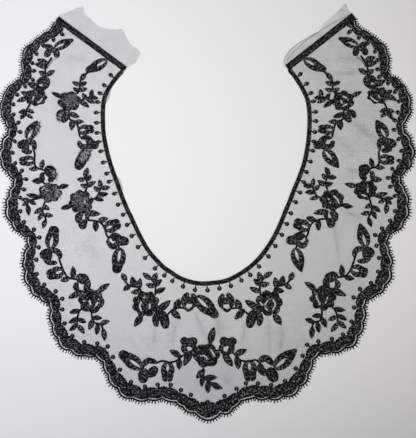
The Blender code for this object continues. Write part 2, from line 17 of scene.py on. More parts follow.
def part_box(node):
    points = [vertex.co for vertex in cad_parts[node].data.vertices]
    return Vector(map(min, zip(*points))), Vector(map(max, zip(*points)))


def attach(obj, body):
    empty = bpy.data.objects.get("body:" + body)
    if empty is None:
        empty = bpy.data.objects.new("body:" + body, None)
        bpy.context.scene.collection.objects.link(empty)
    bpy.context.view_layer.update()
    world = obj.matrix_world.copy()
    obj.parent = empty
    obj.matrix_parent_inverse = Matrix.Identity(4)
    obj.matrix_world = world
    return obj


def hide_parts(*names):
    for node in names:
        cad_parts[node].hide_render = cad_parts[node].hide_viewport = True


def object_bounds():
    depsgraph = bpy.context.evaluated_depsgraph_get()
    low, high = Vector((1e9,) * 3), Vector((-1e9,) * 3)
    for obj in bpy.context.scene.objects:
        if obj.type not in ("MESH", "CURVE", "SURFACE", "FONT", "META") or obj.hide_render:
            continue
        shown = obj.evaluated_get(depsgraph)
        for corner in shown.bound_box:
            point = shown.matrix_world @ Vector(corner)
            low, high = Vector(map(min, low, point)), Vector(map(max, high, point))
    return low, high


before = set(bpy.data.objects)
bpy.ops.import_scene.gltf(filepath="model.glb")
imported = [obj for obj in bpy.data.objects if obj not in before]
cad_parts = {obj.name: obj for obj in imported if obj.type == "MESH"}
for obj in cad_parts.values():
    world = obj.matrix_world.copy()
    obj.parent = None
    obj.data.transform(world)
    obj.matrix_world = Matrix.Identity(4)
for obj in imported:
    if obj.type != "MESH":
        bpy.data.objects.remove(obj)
cad_box = [list(corner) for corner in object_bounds()]
size = [round(1000 * (high - low), 1) for low, high in zip(*cad_box)]
print("solid model, mm:", size, "nodes:", len(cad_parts))

# %% [markdown]
# ## Places on the drawn pattern
#
# A lace maker draws half of the pattern on squared paper and turns it over for the other half. The
# tables below use that paper: across from the left, down from the top, in divisions of 0.88 mm. The
# right half was laid by hand, so it drifts a little from a true mirror image. The drift is a short
# table of shifts, and the nearest rows count most.

# %% From divisions to metres
DIVISION = 0.00088
MIDDLE = 207.146
HALFWAY = 214.309
MIRROR = 206.0
DRIFT_SOFT = 36.0  # divisions squared that keep the nearest row from counting alone

# across, down (where the turned pattern has it), then the shift across and down
DRIFT = (
    (356, 19, -0.3, -1.8), (380, 44, 0.5, -2.5), (391, 79, 0.0, -2.2), (376, 97, 2.5, -1.5),
    (343, 101, 0.5, 0.5), (304, 60, -1.0, -1.0), (410, 110, 1.0, -1.0), (403, 129, 0.8, 1.5),
    (385, 146, 1.5, -1.5), (325, 143, 0.0, 0.0), (409, 150, 2.5, -0.5), (397, 179, 1.4, -1.3),
    (363, 192, 3.0, -2.0), (330, 202, 0.8, -1.8), (403, 206, 2.0, -1.0), (384, 237, 2.2, -1.5),
    (361, 238, 2.5, -2.0), (299, 225, 2.0, -0.5), (294, 250, 3.5, -1.0), (387, 262, 2.5, -1.8),
    (265, 304, 3.5, -1.0), (224, 304, 3.5, 0.5), (362, 302, 2.8, -2.5), (322, 300, 1.0, -2.0),
    (359, 325, 4.0, -2.8), (341, 350, 3.5, -2.0), (308, 362, 4.4, -2.3), (294, 388, 5.2, -1.7),
    (264, 398, 4.0, -1.8), (238, 402, 5.0, -0.3), (217, 412, 2.3, 1.0),
)


def at(across, down):
    """A place on the drawn pattern, in metres."""
    return Vector(((across - MIDDLE) * DIVISION, (HALFWAY - down) * DIVISION))


def turned(across, down):
    """Where the right half has a place of the left half, on the drawn pattern."""
    across = 2 * MIRROR - across
    total = 0.0
    shift = Vector((0.0, 0.0))
    for row in DRIFT:
        weight = 1.0 / (DRIFT_SOFT + (across - row[0]) ** 2 + (down - row[1]) ** 2) ** 1.5
        total += weight
        shift += weight * Vector((row[2], row[3]))
    return across + shift.x / total, down + shift.y / total


def at_turned(across, down):
    """The place in metres where the right half has a place of the left half."""
    return at(*turned(across, down))


print("left picot tip at", at(2.0, 110.5), "and its partner at", at_turned(2.0, 110.5))

# %% [markdown]
# ## Camera
#
# The collar is seen from straight above. A long lens a good metre away keeps the picture almost free of
# perspective. The distance follows from the frame's height, which is 438 divisions of the pattern.

# %% Camera straight above
FRAME_HEIGHT = 438 * DIVISION
FRAME_MIDDLE = (208.0, 219.0)  # in divisions
SENSOR = 36.0
LENS = 110.0

camera_data = bpy.data.cameras.new("view_from_above")
camera_data.lens = LENS
camera_data.sensor_fit = "VERTICAL"
camera_data.sensor_height = SENSOR
camera = bpy.data.objects.new("view_from_above", camera_data)
bpy.context.scene.collection.objects.link(camera)
middle_of_frame = at(*FRAME_MIDDLE)
camera.location = (middle_of_frame.x, middle_of_frame.y, FRAME_HEIGHT * LENS / SENSOR)
bpy.context.scene.camera = camera
print("camera height, m:", round(camera.location.z, 3))

# %% [markdown]
# ## Wiring materials
#
# A few small helpers keep the materials readable. The first adds a node and joins it up, and the short
# ones after it make the nodes that are used most. Another opens a node group with named inputs and
# outputs. A group is made once and then placed in each material with its own values.

# %% Helpers for nodes
def wire(tree, kind, inputs=None, **settings):
    """Adds a node, sets it up, and joins or fills its inputs."""
    node = tree.nodes.new(kind)
    for name, value in settings.items():
        setattr(node, name, value)
    for socket, value in (inputs or {}).items():
        if isinstance(value, bpy.types.NodeSocket):
            tree.links.new(value, node.inputs[socket])
        else:
            node.inputs[socket].default_value = value
    return node


def sums(tree, operation, *values):
    """A math node's result."""
    return wire(tree, "ShaderNodeMath", dict(enumerate(values)), operation=operation).outputs[0]


def vectors(tree, operation, *values, output=0):
    """A vector math node's result."""
    made = wire(tree, "ShaderNodeVectorMath", dict(enumerate(values)), operation=operation)
    return made.outputs[output]


def mix(tree, share, first, second):
    """A colour between two others."""
    sockets = {0: share, 6: first, 7: second}
    return wire(tree, "ShaderNodeMix", sockets, data_type="RGBA").outputs[2]


def clouds(tree, place, scale, detail=2.0):
    """Soft noise, from 0 to 1."""
    sockets = {"Vector": place, "Scale": scale, "Detail": detail}
    return wire(tree, "ShaderNodeTexNoise", sockets).outputs[0]


def ramp(tree, value, low, high, start=0.0, end=1.0):
    """A value moved smoothly from start to end as another goes from low to high."""
    made = wire(
        tree,
        "ShaderNodeMapRange",
        {"Value": value, "From Min": low, "From Max": high, "To Min": start, "To Max": end},
        interpolation_type="SMOOTHSTEP",
    )
    return made.outputs["Result"]


def open_group(name, inputs, outputs):
    """A shader node group with these sockets: name and kind, and a number's default."""
    group = bpy.data.node_groups.new(name, "ShaderNodeTree")
    for socket, kind, default in inputs:
        made = group.interface.new_socket(socket, in_out="INPUT", socket_type=kind)
        if default is not None:
            made.default_value = default
    for socket, kind in outputs:
        group.interface.new_socket(socket, in_out="OUTPUT", socket_type=kind)
    start = group.nodes.new("NodeGroupInput")
    end = group.nodes.new("NodeGroupOutput")
    return group, start.outputs, end.inputs


def new_material(name):
    """A new material, with its node tree and its shader."""
    made = bpy.data.materials.new(name)
    made.use_nodes = True
    return made, made.node_tree, made.node_tree.nodes["Principled BSDF"]


print("node helpers ready")

# %% [markdown]
# ## Thread laid side by side
#
# Satin stitch is many threads of rayon lying side by side across a shape. Each one is far too fine to
# model, so the threads are a bump that follows the piece's own UV map: U is the way along the piece and
# V the way across it, both in millimetres. Where the threads run along the piece, U and V change
# places. The threads never lie quite evenly, and where a few of them catch the light a charcoal streak
# shows on the black. That sheen is painted into the base colour. It is painted on the crest of the
# padding, and the foot stays black. A crest over 1 stands for frayed, fluffy thread, which is painted
# as catching the light nearly everywhere. The group gives the height of the threads and the painted
# sheen as values, for any material of stitching.

# %% Node group for satin threads
FLOAT = "NodeSocketFloat"
VECTOR = "NodeSocketVector"
WANDER_SCALE = 0.5
WANDER_REACH = 1.6  # how far the threads stray from even rows, in mm
STREAK_LONG = 0.66  # streaks to the mm along the piece
STREAK_WIDE = 0.42  # the same across it
SPECK_SCALE = 0.76
SPECK_SHARE = 0.5  # how much of the grain is specks, the rest being streaks
FLUFF_SHEEN_LIFT = 0.12  # how much more painted sheen frayed thread gets
CATCHES = (0.51, 0.60)  # the grain that begins to get painted sheen, and the grain that gets it fully
PADDING_PAINTED_SHEEN = (0.3, 0.98, 0.12, 1.0)  # the crest at the padding's foot and top, then the share of painted sheen there
GRAIN_LOFT = 2.0
THREAD_LOFT = 0.4

threads, given, result = open_group(
    "laid_threads",
    (
        ("Place", VECTOR, None),
        ("Crest", FLOAT, 1.0),
        ("Thread", FLOAT, 0.3),
        ("Slant", FLOAT, 0.3),
        ("Streak", FLOAT, 1.0),
    ),
    (("Height", FLOAT), ("Sheen", FLOAT)),
)
parts = wire(threads, "ShaderNodeSeparateXYZ", {0: given["Place"]}).outputs
across_piece = sums(threads, "MULTIPLY", parts[1], given["Slant"])
along_piece = sums(threads, "ADD", parts[0], across_piece)
wander = clouds(threads, given["Place"], WANDER_SCALE, 1.0)
wandered = sums(threads, "MULTIPLY_ADD", wander, WANDER_REACH, along_piece)
turns = sums(threads, "DIVIDE", wandered, given["Thread"])
wave = sums(threads, "SINE", sums(threads, "MULTIPLY", turns, 2 * math.pi))
round_thread = sums(threads, "MULTIPLY_ADD", wave, 0.5, 0.5)
streak_along = sums(threads, "MULTIPLY", wandered, STREAK_LONG)
streak_across = sums(threads, "MULTIPLY", parts[1], STREAK_WIDE)
streak_place = wire(threads, "ShaderNodeCombineXYZ", {0: streak_along, 1: streak_across}).outputs[0]
streaks = clouds(threads, streak_place, 1.0)
specks = clouds(threads, given["Place"], SPECK_SCALE)
mixed = {0: SPECK_SHARE, 2: streaks, 3: specks}
grain = wire(threads, "ShaderNodeMix", mixed, data_type="FLOAT").outputs[0]
fluff = sums(threads, "MAXIMUM", sums(threads, "SUBTRACT", given["Crest"], 1.0), 0.0)
fluffed = sums(threads, "MULTIPLY_ADD", fluff, FLUFF_SHEEN_LIFT, grain)
caught = ramp(threads, fluffed, *CATCHES)
# painted sheen: the top of the padding is painted lighter than its foot
raised = ramp(threads, given["Crest"], *PADDING_PAINTED_SHEEN)
lit = sums(threads, "MULTIPLY", caught, raised)
thread_loft = sums(threads, "MULTIPLY", round_thread, THREAD_LOFT)
loft = sums(threads, "MULTIPLY_ADD", grain, GRAIN_LOFT, thread_loft)
threads.links.new(loft, result["Height"])
threads.links.new(sums(threads, "MULTIPLY", lit, given["Streak"]), result["Sheen"])
print("laid_threads has", len(threads.nodes), "nodes")

# %% [markdown]
# The stitching and the cords share the group. The cords are wound more tightly over a core, so their
# threads are finer, lie straight across and look smoother. They get less of the painted sheen, so they
# look blacker.

# %% Materials of the stitching and of the cords
BLACK = (0.003, 0.003, 0.0035, 1.0)
# the grey painted where the threads catch the light: a painted sheen, not a colour of the thread
PAINTED_SHEEN_GREY = (0.27, 0.27, 0.285, 1.0)
ROUGH_SPREAD = 0.12  # how far the roughness strays either way
RELIEF = 0.6
STITCH_SHINE = 0.07
STITCH_UV = "stitches"
CREST = "crest"


def stitched_material(name, thread, slant, streak, depth, rough):
    """Black rayon stitching: a painted charcoal sheen, fine threads in relief, a soft broken shine."""
    made, tree, shader = new_material(name)
    place = wire(tree, "ShaderNodeUVMap", uv_map=STITCH_UV).outputs[0]
    crest = wire(tree, "ShaderNodeAttribute", attribute_name=CREST).outputs["Fac"]
    laid = wire(
        tree,
        "ShaderNodeGroup",
        {"Place": place, "Crest": crest, "Thread": thread, "Slant": slant, "Streak": streak},
        node_tree=threads,
    )
    sheen = laid.outputs["Sheen"]
    # painted sheen: the base colour goes from black to grey where the threads catch the light
    tree.links.new(mix(tree, sheen, BLACK, PAINTED_SHEEN_GREY), shader.inputs["Base Color"])
    roughness = ramp(tree, sheen, 0.0, 1.0, rough + ROUGH_SPREAD, rough - ROUGH_SPREAD)
    tree.links.new(roughness, shader.inputs["Roughness"])
    relief = {"Height": laid.outputs["Height"], "Strength": RELIEF, "Distance": depth}
    tree.links.new(wire(tree, "ShaderNodeBump", relief).outputs[0], shader.inputs["Normal"])
    shader.inputs["Specular IOR Level"].default_value = STITCH_SHINE
    return made


# name, width of a thread in mm, slant, share of painted sheen, depth of the relief in metres, roughness
stitching = stitched_material("black_stitching", 0.34, 0.35, 1.0, 0.0003, 0.6)
cording = stitched_material("black_satin_cord", 0.26, 0.1, 0.4, 0.0002, 0.55)
print("materials:", stitching.name, cording.name)

# %% [markdown]
# ## Fine net
#
# The ground is tulle: black thread in small hexagons, so thin that the pale table shows through it and
# it reads as grey. Modelling every hexagon would take millions of faces, so the mesh is a pattern of
# holes in the sheet. The group measures how far a point is from the edge of its hexagon, on the piece's
# own coordinates: it lays two grids of oblong cells over each other, and the nearer of their two cell
# centres is the hexagon's centre.

# %% Node group for the hexagons
mesh_group, given, result = open_group(
    "hexagon_mesh",
    (("Place", VECTOR, None), ("Pitch", FLOAT, 1.2), ("Thread", FLOAT, 0.09), ("Crowding", FLOAT, 0.0)),
    (("Cover", FLOAT),),
)
OBLONG = (1.0, math.sqrt(3.0), 1.0)
HALF_OBLONG = (0.5, math.sqrt(3.0) / 2, 0.0)
HEXAGON_SIDE = (0.5, math.sqrt(3.0) / 2, 0.0)
PULL_SCALE = 0.12
PULL = 3.0  # how far the mesh is pulled out of true, in mm


def from_centre(place):
    """How far a place is from the centre of the oblong cell that it is in."""
    wrapped = vectors(mesh_group, "WRAP", place, OBLONG, (0, 0, 0))
    return vectors(mesh_group, "SUBTRACT", wrapped, HALF_OBLONG)


unsteady = {"Vector": given["Place"], "Scale": PULL_SCALE, "Detail": 2.0}
drawn = wire(mesh_group, "ShaderNodeTexNoise", unsteady)
pulled = vectors(mesh_group, "SCALE", drawn.outputs["Color"])
pulled.node.inputs["Scale"].default_value = PULL
slack = vectors(mesh_group, "ADD", given["Place"], pulled)
scaled = vectors(mesh_group, "DIVIDE", slack, given["Pitch"])
flat = vectors(mesh_group, "MULTIPLY", scaled, (1.0, 1.0, 0.0))
first = from_centre(flat)
second = from_centre(vectors(mesh_group, "SUBTRACT", flat, HALF_OBLONG))
first_far = vectors(mesh_group, "LENGTH", first, output=1)
second_far = vectors(mesh_group, "LENGTH", second, output=1)
second_is_nearer = sums(mesh_group, "LESS_THAN", second_far, first_far)
choice = {0: second_is_nearer, 4: first, 5: second}
nearer = wire(mesh_group, "ShaderNodeMix", choice, data_type="VECTOR").outputs[1]
folded = vectors(mesh_group, "ABSOLUTE", nearer)
slope = vectors(mesh_group, "DOT_PRODUCT", folded, HEXAGON_SIDE, output=1)
straight = wire(mesh_group, "ShaderNodeSeparateXYZ", {0: folded}).outputs[0]
to_edge = sums(mesh_group, "SUBTRACT", 0.5, sums(mesh_group, "MAXIMUM", slope, straight))
thickened = sums(mesh_group, "MULTIPLY_ADD", given["Thread"], given["Crowding"], given["Thread"])
half_thread = sums(mesh_group, "DIVIDE", thickened, sums(mesh_group, "MULTIPLY", given["Pitch"], 2.0))
covered = sums(mesh_group, "LESS_THAN", to_edge, half_thread)
mesh_group.links.new(covered, result["Cover"])
print("hexagon_mesh has", len(mesh_group.nodes), "nodes")

# %% Net material
NET_BLACK = (0.026, 0.018, 0.036, 1.0)
NET_DUSTY = (0.066, 0.050, 0.096, 1.0)
HEXAGON = 1.2  # across a hexagon, in mm
NET_THREAD = 0.125  # across a thread, in mm
DUST = (0.35, 0.7)  # the noise where the dust begins, and where it is full
DUST_SCALE = 0.05
TWIST_SCALE = 9.0
TWIST_DEPTH = 0.00005
NET_SHINE = 0.2
CREASE = "crease"


def net_material(name, dark, dusty, hexagon, thread):
    """Fine net: hexagons of thread, more crowded where it creases, dusty in places."""
    made, tree, shader = new_material(name)
    here = wire(tree, "ShaderNodeTexCoord").outputs["Object"]
    to_millimetres = {"Vector": here, "Scale": (1000.0, 1000.0, 1000.0)}
    millimetres = wire(tree, "ShaderNodeMapping", to_millimetres).outputs[0]
    crease = wire(tree, "ShaderNodeAttribute", attribute_name=CREASE).outputs["Fac"]
    net_mesh = wire(
        tree,
        "ShaderNodeGroup",
        {"Place": millimetres, "Pitch": hexagon, "Thread": thread, "Crowding": crease},
        node_tree=mesh_group,
    )
    tree.links.new(net_mesh.outputs["Cover"], shader.inputs["Alpha"])
    dust = ramp(tree, clouds(tree, millimetres, DUST_SCALE, 3.0), *DUST)
    tree.links.new(mix(tree, dust, dark, dusty), shader.inputs["Base Color"])
    twist = clouds(tree, millimetres, TWIST_SCALE)
    relief = {"Height": twist, "Strength": 0.5, "Distance": TWIST_DEPTH}
    tree.links.new(wire(tree, "ShaderNodeBump", relief).outputs[0], shader.inputs["Normal"])
    tree.links.new(ramp(tree, twist, 0.3, 0.7, 0.6, 0.85), shader.inputs["Roughness"])
    shader.inputs["Specular IOR Level"].default_value = NET_SHINE
    return made


tulle = net_material("black_net", NET_BLACK, NET_DUSTY, HEXAGON, NET_THREAD)
print("net material:", tulle.name)

# %% [markdown]
# ## Lines to stitch along
#
# Stitching follows curves. A few helpers turn a short row of given points into a smooth, evenly
# spaced line, and find the direction square to it.

# %% Helpers for lines
CURVE_STEPS = 8


def travel(line):
    """How far along the line each of its points is."""
    travelled = [0.0]
    for start, end in zip(line, line[1:]):
        travelled.append(travelled[-1] + (end - start).length)
    return travelled


def evenly(line, spacing):
    """The same line with its points evenly spaced, about this far apart."""
    travelled = travel(line)
    pieces = max(2, round(travelled[-1] / spacing))
    points = []
    k = 0
    for i in range(pieces + 1):
        goal = travelled[-1] * i / pieces
        while k < len(line) - 2 and travelled[k + 1] < goal:
            k += 1
        stretch = travelled[k + 1] - travelled[k]
        share = (goal - travelled[k]) / stretch if stretch else 0.0
        points.append(line[k].lerp(line[k + 1], min(max(share, 0.0), 1.0)))
    return points


def through(points):
    """A smooth line through these points, as many short pieces."""
    line = []
    last = len(points) - 1
    for i in range(last):
        before, start = points[max(i - 1, 0)], points[i]
        end, after = points[i + 1], points[min(i + 2, last)]
        for step in range(CURVE_STEPS):
            t = step / CURVE_STEPS
            pull = (end - before) * t
            bend = (2 * before - 5 * start + 4 * end - after) * t**2
            ease = (3 * start - before - 3 * end + after) * t**3
            line.append(start + (pull + bend + ease) / 2)
    line.append(points[-1])
    return line


def sideways(line, i):
    """The unit direction to the right of the line at one of its points."""
    ahead = line[min(i + 1, len(line) - 1)] - line[max(i - 1, 0)]
    ahead.normalize()
    return Vector((ahead.y, -ahead.x))


print("a smooth line through three points has", len(through([at(0, 0), at(5, 2), at(9, 0)])), "points")

# %% [markdown]
# ## Satin stitch as a shape
#
# Every stitched shape is padded: a low dome between two edges, flat underneath, with small ridges where
# groups of threads lie together. It could be a curve with a bevel, but a curve's section can't change
# its width freely on both sides. So one helper starts from a grid. One way of the grid runs along the
# shape, the other goes over the dome and back underneath, and each point is moved to its place. Doubled
# points are then merged, which closes the seam and both ends, so every piece is a closed body.

# %% The satin helper
RIDGE = 0.00085  # the width of a group of threads, in metres
RAGGED = 0.08  # how unevenly the stitches end, as a share of the width
DOME = 0.7  # the power of the dome's section: the smaller, the fuller
TAPER = 0.6  # the power by which the padding sinks as the shape narrows
VEIN_WIDE = 0.3  # as a share of half the width
MERGE = 1e-6
NET_TOP = 0.0003
hand = random.Random(11)


def dome_section(sides, vein):
    """Over the dome and back underneath: how far out, how far up, and what the vein leaves of it."""
    section = []
    for j in range(sides + 2):
        angle = math.pi * j / sides
        out = math.cos(angle) if j <= sides else 1.0
        up = math.sin(angle) ** DOME if 0 < j < sides else 0.0
        section.append((out, up, 1.0 - vein * math.exp(-((out / VEIN_WIDE) ** 2))))
    return section


def satin(
    shape,
    left,
    right,
    rise,
    low=NET_TOP,
    sides=6,
    ridge=0.14,
    chevron=0.0,
    vein=0.0,
    heights=None,
    lengthways=False,
    sheen=1.0,
):
    """A domed satin shape between two edge lines with as many points each, closed where they meet.

    ridge is how unevenly the groups of threads rise, chevron how far the stitches slant towards the
    edges, and vein how deep a furrow runs along the middle. heights scales the rise point by point,
    lengthways turns the threads to run along the shape, and sheen is how much painted sheen its crest
    gets."""
    steps = len(left) - 1
    layer = shape.loops.layers.uv.verify()
    crest_layer = shape.verts.layers.float.get(CREST) or shape.verts.layers.float.new(CREST)
    made = bmesh.ops.create_grid(shape, x_segments=steps, y_segments=sides + 1, size=1.0)["verts"]
    middle = [(a + b) / 2 for a, b in zip(left, right)]
    travelled = travel(middle)
    widest = max((a - b).length for a, b in zip(left, right)) or MERGE
    crest = [1.0 + ridge * (1 if i % 2 else -1) * hand.uniform(0.4, 1.4) for i in range(steps + 1)]
    ragged = [1.0 + RAGGED * hand.uniform(-1, 1) for i in range(steps + 1)]
    ragged[-1] = ragged[0]
    section = dome_section(sides, vein)
    flat_place = {}
    for vert in made:
        i = round((vert.co.x + 1) / 2 * steps)
        j = round((vert.co.y + 1) / 2 * (sides + 1))
        out, up, sunk = section[j]
        reach = (right[i] - left[i]) / 2
        place = middle[i] + reach * out * ragged[i]
        lean = 0.0
        if chevron:
            ahead = middle[min(i + 1, steps)] - middle[max(i - 1, 0)]
            lean = chevron * abs(out) * reach.length
            place += ahead.normalized() * lean
        full = min(1.0, (2 * reach.length / widest) ** TAPER) * (heights[i] if heights else 1.0)
        vert.co = (place.x, place.y, low + rise * full * up * sunk * crest[i])
        # painted sheen: the crest value, highest on top of the dome, lightens the colour there
        vert[crest_layer] = up * sheen
        where = ((travelled[i] + lean) * 1000, out * reach.length * 1000)
        flat_place[vert] = where[::-1] if lengthways else where
    for face in {f for v in made for f in v.link_faces}:
        for loop in face.loops:
            loop[layer].uv = flat_place[loop.vert]
    bmesh.ops.remove_doubles(shape, verts=made, dist=MERGE)


print("groups of threads, mm wide:", RIDGE * 1000)

# %% [markdown]
# Most shapes follow a centre line, with half their width given at each point of it. A cord is as wide
# all along and round at its ends, and a pad swells towards its middle.

# %% Ribbons and pads
def ribbon(shape, line, halves, rise, **more):
    """Satin along a centre line, with half its width given at each point."""
    left = [p - sideways(line, i) * halves[i] for i, p in enumerate(line)]
    right = [p + sideways(line, i) * halves[i] for i, p in enumerate(line)]
    satin(shape, left, right, rise, **more)


def round_ended(line, half):
    """Half widths of a ribbon of even width with round ends."""
    total = travel(line)[-1]
    last = len(line) - 1
    halves = []
    for i in range(len(line)):
        end = min(i, last - i) / last * total
        inside = min(end / half, 1.0)
        halves.append(half * math.sqrt(max(1 - (1 - inside) ** 2, 0.0)))
    return halves


def pad(shape, points, width, rise=0.00125, blunt=0.5, **more):
    """A pad of satin along a curve, round at both ends. The smaller blunt is, the fuller they are."""
    line = evenly(through(points), RIDGE / 2)
    halves = []
    for i in range(len(line)):
        t = i / (len(line) - 1)
        halves.append(width / 2 * math.sin(math.pi * t) ** blunt if 0 < t < 1 else 0.0)
    ribbon(shape, line, halves, rise, **more)


short_line = [at(across, 0) for across in range(5)]
print("half widths of a short round-ended ribbon, m:", round_ended(short_line, DIVISION))

# %% [markdown]
# A finished piece has its faces turned outwards. Then it becomes a mesh with its material, and the
# nodes of the solid model that it takes the place of are hidden.

# %% Finish a piece
def finish_piece(name, shape, look, nodes=()):
    """Turns a piece's faces outwards, gives it its material and puts it on the object."""
    bmesh.ops.recalc_face_normals(shape, faces=shape.faces)
    mesh = bpy.data.meshes.new(name)
    triangles = sum(len(face.verts) - 2 for face in shape.faces)
    shape.to_mesh(mesh)
    shape.free()
    mesh.shade_smooth()
    if mesh.uv_layers:
        mesh.uv_layers[0].name = STITCH_UV
    mesh.materials.append(look)
    piece = bpy.data.objects.new(name, mesh)
    bpy.context.scene.collection.objects.link(piece)
    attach(piece, "root")
    if nodes:
        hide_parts(*nodes)
    print(name, "triangles:", triangles)
    return piece


print("each piece prints its name and triangles as it is finished")

# %% [markdown]
# ## The edge: joints and pins
#
# The whole border hangs on one table. Each small cell of the border runs from one joint to the next,
# and its outer side swells by its own bulge. At every joint a stitched pin stands inwards. The edge was
# laid by hand, so the two halves each have a table of their own.

# %% Both edges
# joint across, joint down, pin across, pin down, bulge as a share of the cell's length
CELLS = (
    (55.3, 21.5, 63.5, 26.5, 0.00), (49.5, 31.8, 62.3, 34.3, 0.12), (40.5, 37.5, 53.3, 39.6, 0.12),
    (32.5, 44.0, 43.5, 45.3, 0.22), (23.2, 58.5, 36.3, 53.7, 0.18), (22.5, 67.0, 32.3, 63.0, 0.12),
    (23.5, 73.0, 34.0, 71.3, 0.15), (20.5, 79.5, 33.0, 79.6, 0.12), (14.0, 84.0, 25.5, 86.0, 0.15),
    (6.5, 91.0, 17.3, 94.3, 0.12), (3.0, 100.0, 13.0, 104.5, 0.20), (2.0, 110.5, 13.5, 115.0, 0.18),
    (5.3, 120.5, 18.5, 123.0, 0.12), (9.0, 128.5, 20.0, 132.0, 0.10),
    (8.3, 135.0, 14.5, 141.5, 0.20), (2.5, 147.5, 12.3, 153.0, 0.22),
    (1.5, 160.5, 14.7, 163.3, 0.20), (8.0, 171.5, 22.0, 171.0, 0.15),
    (14.7, 179.0, 26.0, 179.3, 0.10), (13.7, 186.2, 24.0, 189.0, 0.20),
    (9.7, 196.3, 20.0, 197.5, 0.20), (7.0, 206.5, 20.5, 211.3, 0.22),
    (12.0, 222.0, 24.0, 222.0, 0.20), (20.0, 232.0, 34.0, 229.5, 0.12),
    (27.5, 237.0, 39.5, 237.5, 0.12), (29.0, 247.0, 38.7, 247.3, 0.18),
    (24.5, 258.5, 36.3, 259.7, 0.20), (26.0, 270.5, 36.7, 274.0, 0.22),
    (30.5, 286.8, 44.3, 284.7, 0.22), (39.5, 297.0, 55.7, 291.3, 0.18),
    (49.8, 302.3, 62.3, 298.7, 0.12), (51.7, 310.5, 62.3, 309.5, 0.20),
    (53.0, 324.5, 64.7, 323.3, 0.18), (58.0, 338.0, 72.3, 336.0, 0.25),
    (71.0, 350.0, 84.3, 342.0, 0.20), (85.0, 355.0, 97.3, 343.5, 0.15),
    (95.5, 355.5, 107.7, 346.5, 0.10), (103.7, 362.0, 113.0, 357.0, 0.15),
    (108.3, 374.7, 120.0, 369.7, 0.20), (118.0, 388.0, 131.0, 382.0, 0.25),
    (132.5, 397.8, 145.0, 386.7, 0.15), (148.7, 399.3, 157.7, 384.7, 0.12),
    (162.0, 398.0, 170.7, 384.7, 0.10), (176.0, 401.7, 181.0, 390.0, 0.12),
    (183.0, 407.0, 191.0, 394.7, 0.18), (195.0, 412.5, 201.0, 399.5, 0.29),
)


# the same for the right half, from the end bar down to the middle of the back
RIGHT_CELLS = (
    (354.4, 17.2, 346.0, 23.0, 0.00), (355.8, 25.8, 349.5, 30.5, 0.07),
    (361.4, 30.4, 349.5, 32.3, 0.12), (370.6, 36.1, 358.5, 37.5, 0.09),
    (379.2, 42.6, 367.5, 43.0, 0.19), (386.6, 53.9, 375.0, 51.3, 0.17),
    (387.9, 64.4, 378.0, 60.0, 0.23), (386.6, 71.8, 377.5, 69.7, 0.08),
    (390.7, 77.6, 379.5, 77.0, 0.20), (401.0, 84.4, 388.0, 83.0, 0.20),
    (405.9, 91.8, 395.0, 92.0, 0.18), (409.5, 107.1, 399.0, 101.8, 0.22),
    (408.1, 116.1, 398.0, 112.5, 0.06), (403.0, 124.6, 394.5, 120.5, 0.10),
    (403.6, 128.8, 394.0, 129.5, 0.05), (404.2, 132.7, 398.7, 139.3, 0.19),
    (410.5, 144.2, 401.5, 151.0, 0.25), (410.4, 160.7, 399.0, 160.7, 0.28),
    (406.1, 169.1, 392.5, 169.0, 0.10), (399.5, 176.5, 388.0, 177.5, 0.12),
    (400.2, 183.0, 390.5, 187.0, 0.12), (404.8, 191.2, 395.0, 196.0, 0.17),
    (407.0, 205.6, 395.0, 211.0, 0.22), (403.0, 221.0, 390.0, 220.7, 0.23),
    (395.1, 230.6, 382.0, 228.5, 0.05), (389.5, 234.2, 375.0, 235.0, 0.03),
    (385.7, 243.5, 376.5, 245.7, 0.12), (389.0, 253.6, 379.0, 258.0, 0.20),
    (389.6, 268.4, 378.0, 271.7, 0.23), (384.5, 285.3, 371.0, 283.0, 0.22),
    (376.1, 294.4, 360.0, 289.0, 0.10), (365.8, 299.8, 353.5, 297.5, 0.06),
    (363.4, 307.6, 354.0, 307.5, 0.18), (362.7, 321.9, 351.5, 321.5, 0.19),
    (357.1, 336.0, 343.0, 334.5, 0.28), (344.8, 347.6, 332.0, 339.0, 0.17),
    (330.4, 351.7, 318.5, 341.5, 0.14), (319.3, 352.7, 307.0, 344.7, 0.08),
    (312.3, 359.9, 302.5, 355.7, 0.14), (307.6, 373.4, 295.7, 368.5, 0.23),
    (299.3, 386.0, 285.0, 381.0, 0.26), (283.2, 395.6, 271.0, 385.0, 0.20),
    (267.9, 397.7, 258.0, 383.3, 0.19), (255.0, 397.0, 246.0, 383.3, 0.03),
    (241.0, 400.5, 236.7, 388.7, 0.12), (233.0, 407.8, 224.5, 396.0, 0.26),
    (220.9, 412.9, 213.5, 400.0, 0.26),
)


print("cells, left and right:", len(CELLS), len(RIGHT_CELLS))

# %% [markdown]
# The outer cord runs from joint to joint all round, and each cell's side is a shallow arc. The threads
# of the edge are finer towards the upper left.

# %% Path of the outer cord
COARSE_BELOW = at(0, 126).y
FINE_ABOVE = at(0, 106).y
RIGHT_FINENESS = 0.5
CELL_STEPS = 12


def rows_all_round():
    """Joint, pin and bulge of every cell, down the left half and up the right half."""
    rows = [(at(a, b), at(c, d), bulge) for a, b, c, d, bulge in CELLS]
    back = list(reversed(RIGHT_CELLS))
    for i, (a, b, c, d, bulge) in enumerate(back):
        above = back[i + 1][4] if i + 1 < len(back) else 0.0
        rows.append((at(a, b), at(c, d), above))
    return rows


def lobe(start, end, bulge, steps):
    """One cell's side from start towards end, swelling to the right of the way it runs."""
    chord = end - start
    out = Vector((chord.y, -chord.x))
    points = []
    for step in range(steps):
        t = step / steps
        points.append(start + chord * t + out * (4 * bulge * t * (1 - t)))
    return points


def fineness(point):
    """How fine the edge's threads are: 1 at the upper left, less at the upper right, 0 lower down."""
    above = min(max((point.y - COARSE_BELOW) / (FINE_ABOVE - COARSE_BELOW), 0.0), 1.0)
    return above * (1.0 if point.x < 0 else RIGHT_FINENESS)


